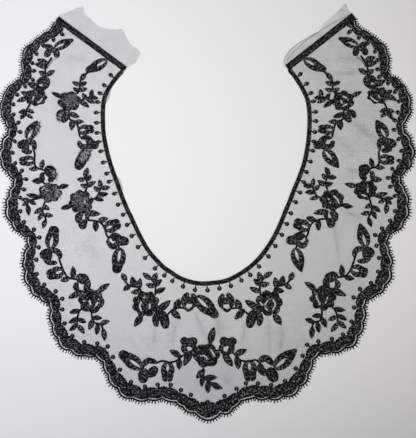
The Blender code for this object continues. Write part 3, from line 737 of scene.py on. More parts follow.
edge_rows = rows_all_round()
cord_path = []
for here, there in zip(edge_rows, edge_rows[1:]):
    cord_path += lobe(here[0], there[0], here[2], CELL_STEPS)
cord_path.append(edge_rows[-1][0])
print("cells:", len(edge_rows) - 1, "edge length, m:", round(travel(cord_path)[-1], 3))

# %% [markdown]
# ## Scalloped border
#
# The border is a band of padded cells. Its outer side runs a little inside the corded line, and its
# inner side has a round bump in each cell with three small frills on it. The band dips where two cells
# meet. The stitches run across it, only at the upper left they run along it. It is a long satin shape
# whose two edges are worked out together, so that their points stay side by side.

# %% Border
GROOVE = 1.7  # divisions from the middle of the outer cord to the border
GROOVE_FINER = 0.6  # how much less it is at the upper left
DIP = 4.0  # divisions from a pin's head to the border's inner edge
DIP_FINER = 0.2  # how much less it is at the upper left
SWELL = 1.8  # how far a cell's inner side stands out between two pins, in divisions
FRILLS = 3
JOINT_DEPTH = 0.4  # how far the padding sinks where two cells meet, as a share of its rise
FRILL = 0.4  # depth of the small frills, in divisions
FRILL_ROUND = 0.6  # the power of a frill's outline: the smaller, the rounder
SWELL_SQUARE = 2.2  # the power of a bump's outline: the larger, the squarer
FLATTER = 0.02  # how much less the border's outer side swells than the cord, as a share of the cell
JOINT_WIDE = 0.12  # as a share of the cell
BORDER_RISE = 0.0013
BORDER_END = 0.8  # the padding's share of its rise at the band's ends
BORDER_STEPS = 24
FINE_CELLS = 11  # cells at the upper left whose stitches run along the band


def border_band(shape, rows, **more):
    """The band of padded cells along these joints."""
    outer, inner = [], []
    for joint, pin, bulge in rows:
        inward = (pin - joint).normalized()
        groove = GROOVE - GROOVE_FINER * fineness(joint)
        outer.append(joint + inward * groove * DIVISION)
        at_end_bar = joint in (edge_rows[0][0], edge_rows[-1][0])
        dip = 0.0 if at_end_bar else DIP - DIP_FINER * fineness(joint)
        inner.append(pin - inward * dip * DIVISION)
    left, right, heights = [], [], []
    for i in range(len(rows) - 1):
        bulge = max(rows[i][2] - FLATTER, 0.0)
        right += lobe(outer[i], outer[i + 1], bulge, BORDER_STEPS)
        inward = (inner[i] + inner[i + 1] - outer[i] - outer[i + 1]).normalized()
        for step in range(BORDER_STEPS):
            t = step / BORDER_STEPS
            swell = SWELL * (1 - abs(2 * t - 1) ** SWELL_SQUARE)
            frill = FRILL * abs(math.sin(math.pi * FRILLS * t)) ** FRILL_ROUND
            left.append(inner[i].lerp(inner[i + 1], t) + inward * DIVISION * (swell + frill))
            heights.append(1.0 - JOINT_DEPTH * math.exp(-((min(t, 1 - t) / JOINT_WIDE) ** 2)))
    left.append(inner[-1])
    right.append(outer[-1])
    heights.append(BORDER_END)
    satin(shape, left, right, BORDER_RISE, sides=8, ridge=0.16, heights=heights, **more)
    return right


border = bmesh.new()
border_outside = border_band(border, edge_rows[: FINE_CELLS + 1], lengthways=True, sheen=0.85)
border_outside += border_band(border, edge_rows[FINE_CELLS:], sheen=0.75)
print("border points along:", len(border_outside))

# %% [markdown]
# ## Pins
#
# A pin is a short stem with a round knot at its end, like a dressmaker's pin. The knot is a small satin
# ring, so a speck of net shows in its middle. In the upper half of the collar the knots are drawn out
# into drops. Each is placed by the middle of its knot, and its stem grows from the nearest part of the
# border.

# %% Pins on the border
PIN_STEM = 0.66  # half the width of a pin's stem, in divisions
PIN_ROOT = 0.35  # where the stem starts, as a share of the way from the border's outer side to the knot
STEM_RISE = 0.0009  # in metres, like every rise
KNOT = 2.4  # radius of a knot, in divisions
KNOT_EYE = 0.16
KNOT_WOBBLE = 0.06  # how far a knot strays from round, as a share of its radius
WOBBLE_SCALE = 3000
KNOT_SHEEN = 0.7
DROP = (2.9, 4.2)  # half the length and the whole width of a drop, in divisions
DROPS_ABOVE = at(0, 203).y
BACK_PIN = (207.5, 402.0)


def knot(shape, centre, radius, eye, rise=0.0010, corners=12):
    """A small round ring of satin."""
    inner, outer = [], []
    for i in range(corners + 1):
        angle = 2 * math.pi * i / corners
        spoke = Vector((math.cos(angle), math.sin(angle)))
        where = Vector((centre.x, centre.y, 0)) * WOBBLE_SCALE + Vector((*spoke, 0))
        wobble = 1 + KNOT_WOBBLE * noise.noise(where)
        inner.append(centre + spoke * eye)
        outer.append(centre + spoke * radius * wobble)
    inner[-1], outer[-1] = inner[0].copy(), outer[0].copy()
    satin(shape, inner, outer, rise, sides=4, ridge=0.1, sheen=KNOT_SHEEN)


def pin(shape, root, head, size=1.0):
    """A stem from root to head, and the knot or drop at its end."""
    inward = (head - root).normalized()
    line = evenly([root, head - inward * KNOT * DIVISION * 0.5], 0.0007)
    ribbon(shape, line, round_ended(line, PIN_STEM * DIVISION), STEM_RISE, sides=4, sheen=0.3)
    if head.y > DROPS_ABOVE:
        half = inward * DROP[0] * DIVISION * size
        side = Vector((inward.y, -inward.x)) * hand.uniform(-0.5, 0.5) * DIVISION
        width = DROP[1] * DIVISION * size
        pad(shape, [head - half, head + side, head + half], width, 0.0011, sheen=KNOT_SHEEN)
    else:
        knot(shape, head, KNOT * DIVISION * size, KNOT_EYE * DIVISION)


def nearest(place, line):
    """The line's point that is nearest to a place."""
    return min(line, key=lambda point: (point - place).length)


pin_heads = [at(row[2], row[3]) for row in CELLS[1:-1] + RIGHT_CELLS[2:-1]] + [at(*BACK_PIN)]
for head in pin_heads:
    pin(border, nearest(head, border_outside).lerp(head, PIN_ROOT), head)
print("border pins:", len(pin_heads))
border_piece = finish_piece("scalloped_border", border, stitching, ("scallop_border",))

# %% [markdown]
# ## Outer cord and picots
#
# Outside the border a fine cord is sewn along the edge, and from it stand the picots: short tapered
# loops of thread, side by side like the teeth of a comb. The cord is a ribbon with a rope's ridges.
# There are hundreds of picots, so each is a cone of a few faces, laid on its side and pointing away
# from the cord.

# %% Outer cord
CORD_HALF = 0.88  # half the width of the outer cord, in divisions
CORD_FINER = 0.2  # how much less it is at the upper left
cord_line = evenly(cord_path, 0.0008)
cord = bmesh.new()
cord_halves = [(CORD_HALF - CORD_FINER * fineness(point)) * DIVISION for point in cord_line]
cord_halves[0] = cord_halves[-1] = 0.0
ribbon(cord, cord_line, cord_halves, 0.0012, sides=6, ridge=0.2, sheen=0.1)
cord_piece = finish_piece("outer_edge_cord", cord, cording, ("outer_cord",))

# %% Picots
PICOT_PITCH = 0.00214
PICOT_LONG = 0.0026
PICOT_THICK = 0.00056  # half the width of a picot's foot
PICOT_SLIM = 0.8  # the width at its tip, and its height, as a share of the width at its foot
PICOT_FOOT = 0.6  # where it starts, as a share of half the cord's width
PICOT_LEAN = 0.16  # how far it leans to either side
PICOT_UNEVEN = (0.85, 1.1)  # its length and its thickness, as shares of the above
PICOT_FINER = 0.34  # how much thinner they are at the upper left
PICOT_CLOSER = 0.12  # how much closer they are there
PICOT_SHORTER = 0.3  # how much shorter they are at the upper right


def picot(shape, foot, out, long, thick):
    """One tapered tooth that lies flat and points outwards."""
    tip = foot + out * long
    made = bmesh.ops.create_cone(
        shape,
        cap_ends=True,
        segments=5,
        radius1=thick,
        radius2=thick * PICOT_SLIM,
        depth=long,
    )["verts"]
    across = Vector((out.y, -out.x))
    middle = (foot + tip) / 2
    for vert in made:
        along, side, up = vert.co.z, vert.co.x, vert.co.y
        place = middle + out * along + across * side
        vert.co = (place.x, place.y, NET_TOP + (thick + up) * PICOT_SLIM)


picots = bmesh.new()
fine_line = evenly(cord_path, 0.0003)
picot_line = [fine_line[0]]
for point in fine_line:
    if (point - picot_line[-1]).length > PICOT_PITCH * (1 - PICOT_CLOSER * fineness(point)):
        picot_line.append(point)
for i in range(1, len(picot_line) - 1):
    out = sideways(picot_line, i)
    lean = Vector((out.y, -out.x)) * hand.uniform(-PICOT_LEAN, PICOT_LEAN)
    finer = fineness(picot_line[i])
    shorter = PICOT_SHORTER * finer if picot_line[i].x > 0 else 0.0
    long = PICOT_LONG * (1 - shorter) * hand.uniform(*PICOT_UNEVEN)
    thick = PICOT_THICK * (1 - PICOT_FINER * finer) * hand.uniform(*PICOT_UNEVEN)
    foot = picot_line[i] + out * CORD_HALF * DIVISION * PICOT_FOOT
    picot(picots, foot, (out + lean).normalized(), long, thick)
picot_layer = picots.loops.layers.uv.verify()
for face in picots.faces:
    for loop in face.loops:
        loop[picot_layer].uv = (loop.vert.co.x * 1000, loop.vert.co.y * 1000)
picots_piece = finish_piece("picot_loops", picots, stitching, ("picot_edge",))

# %% [markdown]
# ## Neckline cord and end bars
#
# The neck is finished with a thick satin cord, and each open end with a wider satin bar. Both are
# ribbons. Each bar has its own width, and its threads run along it, with a soft furrow down the middle.

# %% Neckline cord
NECK = (
    (123.0, 70.5), (117.5, 76.5), (112.0, 83.5), (108.0, 90.0), (105.2, 96.0), (103.6, 103.0),
    (102.9, 111.0), (102.9, 120.0), (103.3, 130.0), (104.6, 140.0), (106.7, 150.0), (109.2, 160.0),
    (112.4, 170.0), (116.0, 180.0), (119.6, 190.0), (123.3, 200.0), (127.6, 210.0), (132.4, 220.0),
    (137.0, 230.0), (142.0, 240.0), (148.0, 250.0), (155.0, 258.5), (163.0, 266.7), (172.0, 273.0),
    (181.0, 278.5), (192.0, 282.2), (203.0, 283.6), (214.0, 282.8), (223.0, 281.5), (231.0, 278.8),
    (240.0, 273.8), (250.0, 267.0), (259.0, 258.5), (266.0, 249.7), (272.3, 240.0), (277.6, 230.0),
    (282.0, 220.0), (286.0, 210.0), (290.2, 200.0), (294.0, 190.0), (298.2, 180.0), (302.0, 170.0),
    (305.0, 160.0), (307.0, 150.0), (308.5, 140.0), (309.3, 130.0), (309.6, 120.0), (309.2, 110.0),
    (307.8, 101.0), (305.3, 94.5), (301.0, 86.0), (296.5, 79.0), (292.5, 73.5), (288.5, 69.0),
)
NECK_HALF = 2.25  # half the width of the neckline cord, in divisions
neck_line = evenly(through([at(*place) for place in NECK]), RIDGE / 2)
neck = bmesh.new()
ribbon(neck, neck_line, round_ended(neck_line, NECK_HALF * DIVISION), 0.0015, sides=8, ridge=0.18)
neck_piece = finish_piece("neckline_satin_cord", neck, cording, ("neckline_cord",))

# %% End bars
BARS = {
    "end_bar_left": ((57.1, 18.7), (125.6, 69.5), 3.0),
    "end_bar_right": ((353.9, 15.7), (286.9, 68.1), 3.4),
}


def end_bar(node, start, end, half):
    """A wide bar between two places, with half its width in divisions."""
    shape = bmesh.new()
    line = evenly([at(*start), at(*end)], RIDGE / 2)
    halves = [half * DIVISION] * len(line)
    halves[0] = halves[-1] = 0.0
    ribbon(shape, line, halves, 0.0016, sides=10, ridge=0.06, vein=0.2, lengthways=True)
    return finish_piece(node + "_satin", shape, cording, (node,))


bar_pieces = [end_bar(node, *facts) for node, facts in BARS.items()]

# %% [markdown]
# Short pins stand from the neckline cord into the net all the way round.

# %% Neckline pins
NECK_PINS = (
    (110.7, 75.5), (104.3, 85.3), (100.0, 93.3), (97.5, 102.0), (96.3, 112.5), (96.5, 122.7),
    (97.0, 133.0), (98.3, 142.0), (100.7, 151.3), (103.3, 162.5), (106.7, 173.3), (109.0, 181.5),
    (114.3, 193.5), (118.0, 204.7), (123.0, 214.7), (127.0, 225.0), (131.7, 236.0), (138.0, 247.0),
    (145.0, 258.0), (155.0, 268.5), (164.3, 275.5), (172.3, 281.0), (183.0, 286.5), (195.0, 290.0),
    (207.5, 290.3), (219.5, 288.5), (231.0, 286.0), (241.5, 280.5), (250.3, 275.0), (259.0, 266.5),
    (268.5, 256.5), (275.5, 246.0), (282.0, 235.0), (287.0, 224.0), (291.0, 213.3), (295.5, 202.5),
    (300.0, 192.5), (304.0, 182.0), (306.5, 171.7), (310.5, 161.5), (312.7, 151.0), (314.0, 141.3),
    (315.0, 131.7), (316.0, 121.0), (315.5, 112.3), (313.5, 101.0), (311.0, 93.5), (306.8, 84.0),
    (300.5, 74.5),
)
NECK_PIN_SIZE = 0.98  # as a share of a border pin's
NECK_PIN_ROOT = 0.3
neck_pins = bmesh.new()
for place in NECK_PINS:
    head = at(*place)
    pin(neck_pins, nearest(head, neck_line).lerp(head, NECK_PIN_ROOT), head, NECK_PIN_SIZE)
neck_pins_piece = finish_piece("neckline_pins", neck_pins, stitching)

# %% [markdown]
# ## Leaves and stems
#
# A sprig leaf is one teardrop of satin with its stitches laid in a shallow V. A large leaf is worked as
# two arms that leave an open slit near its foot and close towards the tip. A hanging leaf is the same
# with a broad tip, where its two arms end a little apart. Petals and stems are ribbons with round ends.

# %% Leaf helpers
LEAF_SHEEN = 0.8
LEAF_RISE = 0.00115
LEAF_BOW = 0.05  # how far a leaf's middle strays to either side, as a share of its length
LEAF_WIDEST = 1.15  # the power that moves its widest place past the middle
LEAF_ROUND = 0.66  # the power of its outline: the smaller, the rounder
STEM_HALF = 1.05  # half the width of a stem, in divisions
PETAL_SHEEN = 0.74


def leaf(shape, foot, tip, width):
    """A solid teardrop, widest past its middle, slightly bowed."""
    side = Vector((tip.y - foot.y, foot.x - tip.x))
    bow = foot.lerp(tip, 0.5) + side * hand.uniform(-LEAF_BOW, LEAF_BOW)
    line = evenly(through([foot, bow, tip]), RIDGE / 2)
    halves = []
    for i in range(len(line)):
        t = i / (len(line) - 1)
        full = math.sin(math.pi * t**LEAF_WIDEST) ** LEAF_ROUND if 0 < t < 1 else 0.0
        halves.append(width / 2 * full)
    along = hand.random() < 0.5
    ribbon(shape, line, halves, LEAF_RISE, chevron=-0.35, vein=0.18, lengthways=along, sheen=LEAF_SHEEN)


SLIT = (0.08, 0.54, 0.11)  # its start and end, as shares of the length, then its share of the width
SLIT_ROUND = 0.7
ARM_RISE = 0.0012
ARM_WIDEST = 0.85  # the power that moves an arm's widest place towards the foot
ARM_ROUND = 0.6  # the power of its outline: the smaller, the rounder
ARM_FULL = 1.05  # its full width, as a share of the half leaf's
ARM_LOSS = 0.35  # what it has lost of that at the tip
TIP_FROM = 0.6  # where a blunt tip starts to round off, as a share of the length
NOTCH_FROM = 0.84  # where the two arms of a notched leaf start to part, as a share of the length


def slit_leaf(shape, foot, tip, width, slit=SLIT, blunt=0.2, notch=0.0):
    """Two satin arms with a slit between them.

    blunt is the share of its width that a leaf keeps up to its tip, notch how far its arms part."""
    apart = notch * width
    axis = evenly([foot, tip], RIDGE / 2)
    steps = len(axis) - 1
    across = sideways(axis, 1)
    for turn in (-1, 1):
        inner, outer = [], []
        for i, point in enumerate(axis):
            t = i / steps
            full = math.sin(math.pi * t**ARM_WIDEST) if 0 < i < steps else 0.0
            reach = width / 2 * full**ARM_ROUND * (ARM_FULL - ARM_LOSS * t**3)
            open_share = min(max((t - slit[0]) / (slit[1] - slit[0]), 0.0), 1.0)
            gap = 0.0
            if 0 < open_share < 1:
                gap = slit[2] * width * math.sin(math.pi * open_share) ** SLIT_ROUND
            if t > TIP_FROM:
                blunted = math.sqrt(1 - ((t - TIP_FROM) / (1 - TIP_FROM)) ** 4)
                reach = max(reach, apart + (blunt * width / 2 - apart) * blunted)
                gap = max(gap, apart * (t - NOTCH_FROM) / (1 - NOTCH_FROM))
            inner.append(point + across * turn * min(gap, reach))
            outer.append(point + across * turn * reach)
        edges = (inner, outer) if turn > 0 else (outer, inner)
        satin(shape, edges[0], edges[1], ARM_RISE, sides=6, ridge=0.16, sheen=LEAF_SHEEN)


def stem(shape, points, half=STEM_HALF):
    """A narrow ribbon through these points, with half its width in divisions."""
    line = evenly(through(points), 0.0009)
    ribbon(shape, line, round_ended(line, half * DIVISION), STEM_RISE, sides=4, ridge=0.1, sheen=0.3)


def petal(shape, points, width):
    """A full, rounded ribbon through these points."""
    pad(shape, points, width, blunt=0.36, vein=0.1, lengthways=hand.random() < 0.5, sheen=PETAL_SHEEN)


print("stem width, mm:", round(2 * STEM_HALF * DIVISION * 1000, 2))

# %% [markdown]
# A few places are frayed: their threads have come loose, so they look grey and fluffy. Such a petal is
# a little narrower, has painted sheen nearly everywhere, which makes it grey, and has fine loose ends
# of thread standing out along both its sides.

# %% Frayed petals
# how much painted sheen a frayed petal gets; over 1 it is painted lit nearly everywhere
FRAYED_SHEEN = 1.64
FRAYED_NARROWER = 0.86
WISP_GAP = 0.0004  # from one loose end of thread to the next, in metres
WISP_ROOT = (0.32, 0.42)  # how far out a loose end starts, as a share of the petal's width
WISP_HALF = 0.2  # half the width of a loose end, in divisions
WISP_REACH = (0.2, 2.8)  # how far it sticks out, in divisions
WISP_LEAN = 3.0  # how far it leans to either side, in divisions
WISP_BOW = 0.5
WISP_LIFT = 0.0006  # how high it lies, in metres
LOOSE_RISE = 0.0004  # how thick a loose thread is, in metres


def wisp(shape, start, out):
    """A loose end of thread that sticks out past the edge of a frayed place."""
    along = Vector((out.y, -out.x)) * hand.uniform(-WISP_LEAN, WISP_LEAN) * DIVISION
    end = start + out * hand.uniform(*WISP_REACH) * DIVISION + along
    bow = start.lerp(end, 0.5) + out * hand.uniform(-WISP_BOW, WISP_BOW) * DIVISION
    line = through([start, bow, end])
    halves = round_ended(line, WISP_HALF * DIVISION)
    ribbon(shape, line, halves, LOOSE_RISE, low=WISP_LIFT, sides=4, sheen=0.6)


def frayed(shape, points, width):
    """A petal whose threads have frayed."""
    pad(shape, points, width * FRAYED_NARROWER, rise=0.0015, blunt=0.5, sheen=FRAYED_SHEEN)
    line = evenly(through(points), WISP_GAP)
    for i in range(1, len(line)):
        for turn in (-1, 1):
            out = sideways(line, i) * turn
            full = math.sin(math.pi * i / len(line)) ** 0.5
            foot = line[i].lerp(line[i - 1], hand.random())
            wisp(shape, foot + out * width * hand.uniform(*WISP_ROOT) * full, out)


print("loose ends stick out up to, mm:", round(WISP_REACH[1] * DIVISION * 1000, 2))

# %% [markdown]
# ## Roses
#
# A rose is worked in rounds from its bud outwards. The rounds lie close together and fill an uneven
# oval with bumps for its outer petals. A few crescents of net are left open beside the bud, and this is
# what makes it read as a rose. So the helper lays round after round of short arcs of satin, each over a
# wider, blacker arc with less painted sheen that shows as the dark line between two rounds. Each arc's
# two edges are worked out, and an edge that would run into a crescent is drawn back to the crescent's
# side. Three roses are frayed: they get more painted sheen, and loose loops and ends of thread lie over
# them.

# %% Arcs of a rose
ROSE_BUMP = 0.18  # how far the outer petals stand out, as a share of the radius
BUMP_LEVEL = 0.6  # the part of a bump's wave that lies inside the rim
OPENING_HALF = 0.72  # half the width of a crescent, in divisions
ARC_ROUND = 0.3  # the power of an arc's rounded ends: the smaller, the squarer


def on_round(share, angle, half_wide, half_tall, bud, bumps):
    """A place in the rose: share 0 is the middle of the bud, share 1 the rim."""
    turn = math.radians(angle)
    bump = 1 + ROSE_BUMP * share**2 * (abs(math.sin(turn * bumps[0] / 2 + bumps[1])) - BUMP_LEVEL)
    rim = Vector((half_wide * math.cos(turn), half_tall * math.sin(turn)))
    return bud * (1 - share) + rim * share * bump


def drawn_back(point, other, openings):
    """The point, or the first place towards the other one that is clear of every opening."""
    for step in range(9):
        place = point.lerp(other, step / 8)
        if all((nearest(place, line) - place).length > OPENING_HALF for line in openings):
            return place
    return None


def lay_arc(shape, centre, sides, rise, sheen):
    """Satin between two edges given in divisions from the centre, drawn together at both ends."""
    last = len(sides[0]) - 1
    if last < 2:
        return
    left, right = [], []
    for i, (a, b) in enumerate(zip(*sides)):
        middle = (a + b) / 2
        full = math.sin(math.pi * i / last) ** ARC_ROUND if 0 < i < last else 0.0
        left.append(centre + middle.lerp(a, full) * DIVISION)
        right.append(centre + middle.lerp(b, full) * DIVISION)
    satin(shape, left, right, rise, sides=4, ridge=0.07, lengthways=hand.random() < 0.6, sheen=sheen)


print("crescents, mm wide:", round(2 * OPENING_HALF * DIVISION * 1000, 2))

# %% Loose loops
LOOP_RADIUS = (1.4, 3.0)  # in divisions
LOOP_HALF = 0.3  # half the width of its thread, in divisions
LOOP_LIFT = 0.0013  # how high its thread lies, in metres
LOOP_TURN = 1.7 * math.pi  # how far round it goes
LOOP_STEPS = 12
LOOP_SQUASH = 0.75
LOOP_SHEEN = 2.2


def loose_loop(shape, centre, half_wide, half_tall):
    """A fine loop of thread that stands loose over a frayed rose."""
    turn, far = hand.uniform(0, 2 * math.pi), hand.uniform(0.1, 0.9)
    middle = centre + Vector((half_wide * math.cos(turn), half_tall * math.sin(turn))) * far * DIVISION
    radius = hand.uniform(*LOOP_RADIUS) * DIVISION
    start = hand.uniform(0, 2 * math.pi)
    line = []
    for i in range(LOOP_STEPS + 1):
        angle = start + LOOP_TURN * i / LOOP_STEPS
        line.append(middle + Vector((math.cos(angle), LOOP_SQUASH * math.sin(angle))) * radius)
    halves = round_ended(line, LOOP_HALF * DIVISION)
    ribbon(shape, line, halves, LOOSE_RISE, low=LOOP_LIFT, sides=4, ridge=0.0, sheen=LOOP_SHEEN)


print("loose loops, points each:", LOOP_STEPS + 1)

# %% A whole rose
ROUND_GAP = 1.5  # divisions from one round to the next
ROUND_OVERLAP = (0.34, 0.52)  # half an arc's width as a share of that gap
ARC_STEP = 7  # degrees
ARC_SPAN = (50, 110)  # degrees, for an arc of the middle rounds
ARC_LONGER = 1.6  # how many times longer an arc is beside the bud
ARC_LAP = 12  # degrees by which one arc laps over the next
ARC_RISE = (0.0010, 0.0014)  # in metres
UNDERLAY = 1.35  # how much wider than an arc the darker stitches under it are
UNDERLAY_RISE = 0.0007
UNDERLAY_SHEEN = 0.1
FUZZY = 1.1  # the sheen past which a rose is frayed
LOOSE_LOOPS = 15
RIM_ROOT = 0.86  # where a loose end starts, as a share of the way to the rim


def rose(shape, centre, half_wide, half_tall, bud, openings, sheen):
    """Rounds of satin arcs, all measured in divisions from the rose's centre, across and up."""
    lines = [evenly(through(points), 0.5) for points in openings]
    rounds = round(max(half_wide, half_tall) / ROUND_GAP)
    bumps = (hand.choice((6, 7, 8)), hand.uniform(0, math.pi))
    outline = (half_wide, half_tall, bud, bumps)
    glow = min(sheen, FUZZY)
    for k in range(rounds):
        share = (k + 0.5) / rounds
        angle = hand.uniform(0, 360)
        end = angle + 360
        while angle < end:
            span = hand.uniform(*ARC_SPAN) * (ARC_LONGER - share)
            reach = hand.uniform(*ROUND_OVERLAP) / rounds
            rise = hand.uniform(*ARC_RISE)
            layers = ((UNDERLAY, UNDERLAY_RISE, UNDERLAY_SHEEN), (1.0, rise, glow))
            for widened, raised, shine in layers:
                edges = (max(share - reach * widened, 0.0), share + reach * widened)
                sides = ([], [])
                steps = max(4, round(span / ARC_STEP))
                for step in range(steps + 1):
                    here = angle + span * step / steps
                    close, far = (on_round(edge, here, *outline) for edge in edges)
                    left = drawn_back(close, far, lines)
                    if left is None:
                        lay_arc(shape, centre, sides, raised, shine)
                        sides = ([], [])
                    else:
                        sides[0].append(left)
                        sides[1].append(drawn_back(far, close, lines))
                lay_arc(shape, centre, sides, raised, shine)
            angle += span - ARC_LAP
    for _ in range(LOOSE_LOOPS if sheen > FUZZY else 0):
        loose_loop(shape, centre, half_wide, half_tall)
        spoke = hand.uniform(0, 2 * math.pi)
        out = Vector((half_wide * math.cos(spoke), half_tall * math.sin(spoke)))
        wisp(shape, centre + out * RIM_ROOT * DIVISION, out.normalized())


print("rounds in a rose 12 divisions wide:", round(12 / ROUND_GAP))

# %% Table of the roses
# spray, centre across and down, half width, half height, bud across and down from the centre, sheen,
# then the crescents left open, each as across, down, across, down ... from the centre
ROSES = (
    ("outer_top_left", 35.8, 97.4, 11.0, 8.2, 1.0, 1.0, 1.1,
     ((2.0, 5.2, 4.6, 3.8, 6.3, 1.2), (-3.3, 2.6, -2.7, 1.0, -1.9, -0.4))),
    ("inner_top_left", 69.4, 101.4, 11.2, 9.6, 0.0, 1.0, 1.25, ((-2.7, 4.7, -1.5, 5.0),)),
    ("outer_middle_left", 49.8, 192.6, 11.0, 9.6, -6.0, 1.0, 1.22,
     ((-3.2, -2.0, -2.7, 0.2, -3.0, 2.3), (-7.4, -3.0, -5.9, -4.6, -3.9, -3.6))),
    ("inner_middle_left", 81.0, 201.8, 11.8, 11.4, 2.5, 0.0, 1.25,
     ((3.4, -0.2, 3.9, 1.0), (8.4, -4.9, 9.2, -4.3))),
    ("outer_lower_left", 91.4, 300.8, 12.6, 12.0, -5.6, 3.6, 1.0,
     ((-7.9, 0.5, -3.7, -0.9, -1.7, 1.0, -0.4, 4.4), (7.1, -1.7, 6.2, 2.2, 3.3, 5.7))),
    ("inner_lower_left", 145.8, 304.0, 13.2, 12.4, -1.0, 1.0, 1.0,
     ((-4.5, -2.4, -6.0, 1.9, -4.5, 7.0), (1.4, -2.4, 4.0, 1.2, 3.4, 5.2), (-2.0, -6.4, -0.9, -7.0))),
    ("back", 206.6, 355.4, 12.8, 11.8, -3.6, 4.0, 1.0,
     ((-6.2, 0.8, -2.4, 0.2, 0.9, 3.9), (3.4, -6.9, 6.9, -1.5, 8.3, 1.4))),
    ("inner_lower_right", 269.0, 303.0, 13.2, 12.2, 1.0, 2.0, 1.0,
     ((4.4, -2.8, 6.3, 1.5, 3.9, 6.7), (-1.3, -2.4, -3.9, 1.5), (-8.8, -0.6, -7.0, 2.0),
      (-4.3, 4.6, -1.5, 6.9))),
    ("outer_lower_right", 323.0, 298.0, 12.8, 12.0, -2.0, 1.4, 0.9,
     ((-6.8, -1.9, -5.3, 1.9, -3.0, 6.2), (4.5, -0.5, 2.5, 4.7))),
    ("inner_middle_right", 332.0, 200.0, 11.8, 10.2, 1.5, 0.0, 0.9,
     ((1.2, -4.3, 4.8, -1.3, 6.9, 2.9), (-3.2, -1.1, -1.6, 3.0))),
    ("outer_middle_right", 365.4, 190.0, 11.2, 9.6, -0.5, 0.0, 0.9,
     ((-5.7, 1.7, -2.6, 5.0, 1.0, 6.0), (2.4, -1.5, 2.2, 2.0))),
    ("inner_top_right", 343.0, 101.0, 10.8, 9.8, 1.3, 0.0, 0.9,
     ((-0.2, -4.5, 2.8, -3.5, 4.9, -1.1), (-2.0, -0.4, -1.0, 2.2), (-0.1, 5.1, 4.1, 3.2))),
    ("outer_top_right", 378.5, 95.5, 11.2, 8.2, 0.0, 1.0, 0.9,
     ((-7.6, 1.7, -4.4, 4.7, -1.5, 6.0), (-0.2, -0.2, 1.2, 2.3))),
)
print("roses:", len(ROSES))

# %% [markdown]
# ## The sprays
#
# Each spray has a short table on the pattern's divisions. A "leaf" row is foot, tip and width. A "slit"
# row is the same for a large leaf with a slit, with how blunt its tip is, and a "hang" row is a hanging
# leaf. A "petal" or "frayed" row gives its width and then the points that it runs through. A "stem" row
# gives only its points, and so does a "thread" row, which is a very fine stem. The left half is drawn
# and the right half is turned over. Where the two differ, a short table holds the rows of one side
# only.

# %% Tables of the outer sprays
OUTER_TOP = (
    ("slit", 54.0, 48.5, 73.5, 39.5, 9.0, 0.5),
    ("leaf", 54.0, 50.5, 43.0, 44.8, 6.4),
    ("petal", 5.6, 48.5, 48.0, 51.5, 49.8, 55.0, 50.8),
    ("petal", 6.8, 52.0, 50.0, 48.2, 52.5, 46.0, 57.5),
    ("petal", 6.8, 52.8, 50.0, 56.2, 52.5, 57.2, 58.0),
    ("stem", 52.0, 57.0, 51.0, 59.0, 46.5, 66.0, 45.2, 71.0, 46.0, 79.0),
    ("thread", 56.5, 58.5, 52.0, 61.5, 48.6, 66.5, 47.6, 69.0),
    ("leaf", 48.0, 63.5, 37.0, 59.3, 5.8),
    ("leaf", 47.5, 67.5, 34.5, 63.8, 5.8),
    ("leaf", 45.8, 75.5, 38.5, 71.2, 5.0),
    ("leaf", 45.8, 75.8, 55.0, 70.0, 5.0),
    ("petal", 6.6, 47.5, 77.8, 42.0, 80.0, 37.0, 84.0),
    ("petal", 5.8, 46.6, 77.0, 47.4, 82.5, 45.6, 88.8),
    ("petal", 4.2, 46.5, 88.0, 41.5, 88.8, 37.0, 86.0),
    ("petal", 4.6, 43.6, 80.0, 44.6, 84.0, 44.4, 88.0),
    ("leaf", 39.5, 87.2, 26.5, 82.6, 6.4),
    ("stem", 42.0, 86.0, 38.5, 91.0),
    ("leaf", 29.0, 96.0, 20.5, 91.7, 4.8),
    ("leaf", 28.0, 97.5, 16.5, 101.7, 5.0),
    ("stem", 31.0, 103.0, 27.2, 109.0, 26.0, 114.5),
    ("leaf", 27.3, 110.3, 18.3, 113.0, 4.4),
    ("leaf", 26.8, 109.8, 34.5, 113.2, 4.4),
    ("leaf", 26.0, 113.5, 20.3, 119.7, 4.6),
    ("leaf", 26.2, 114.0, 33.3, 118.5, 4.0),
)
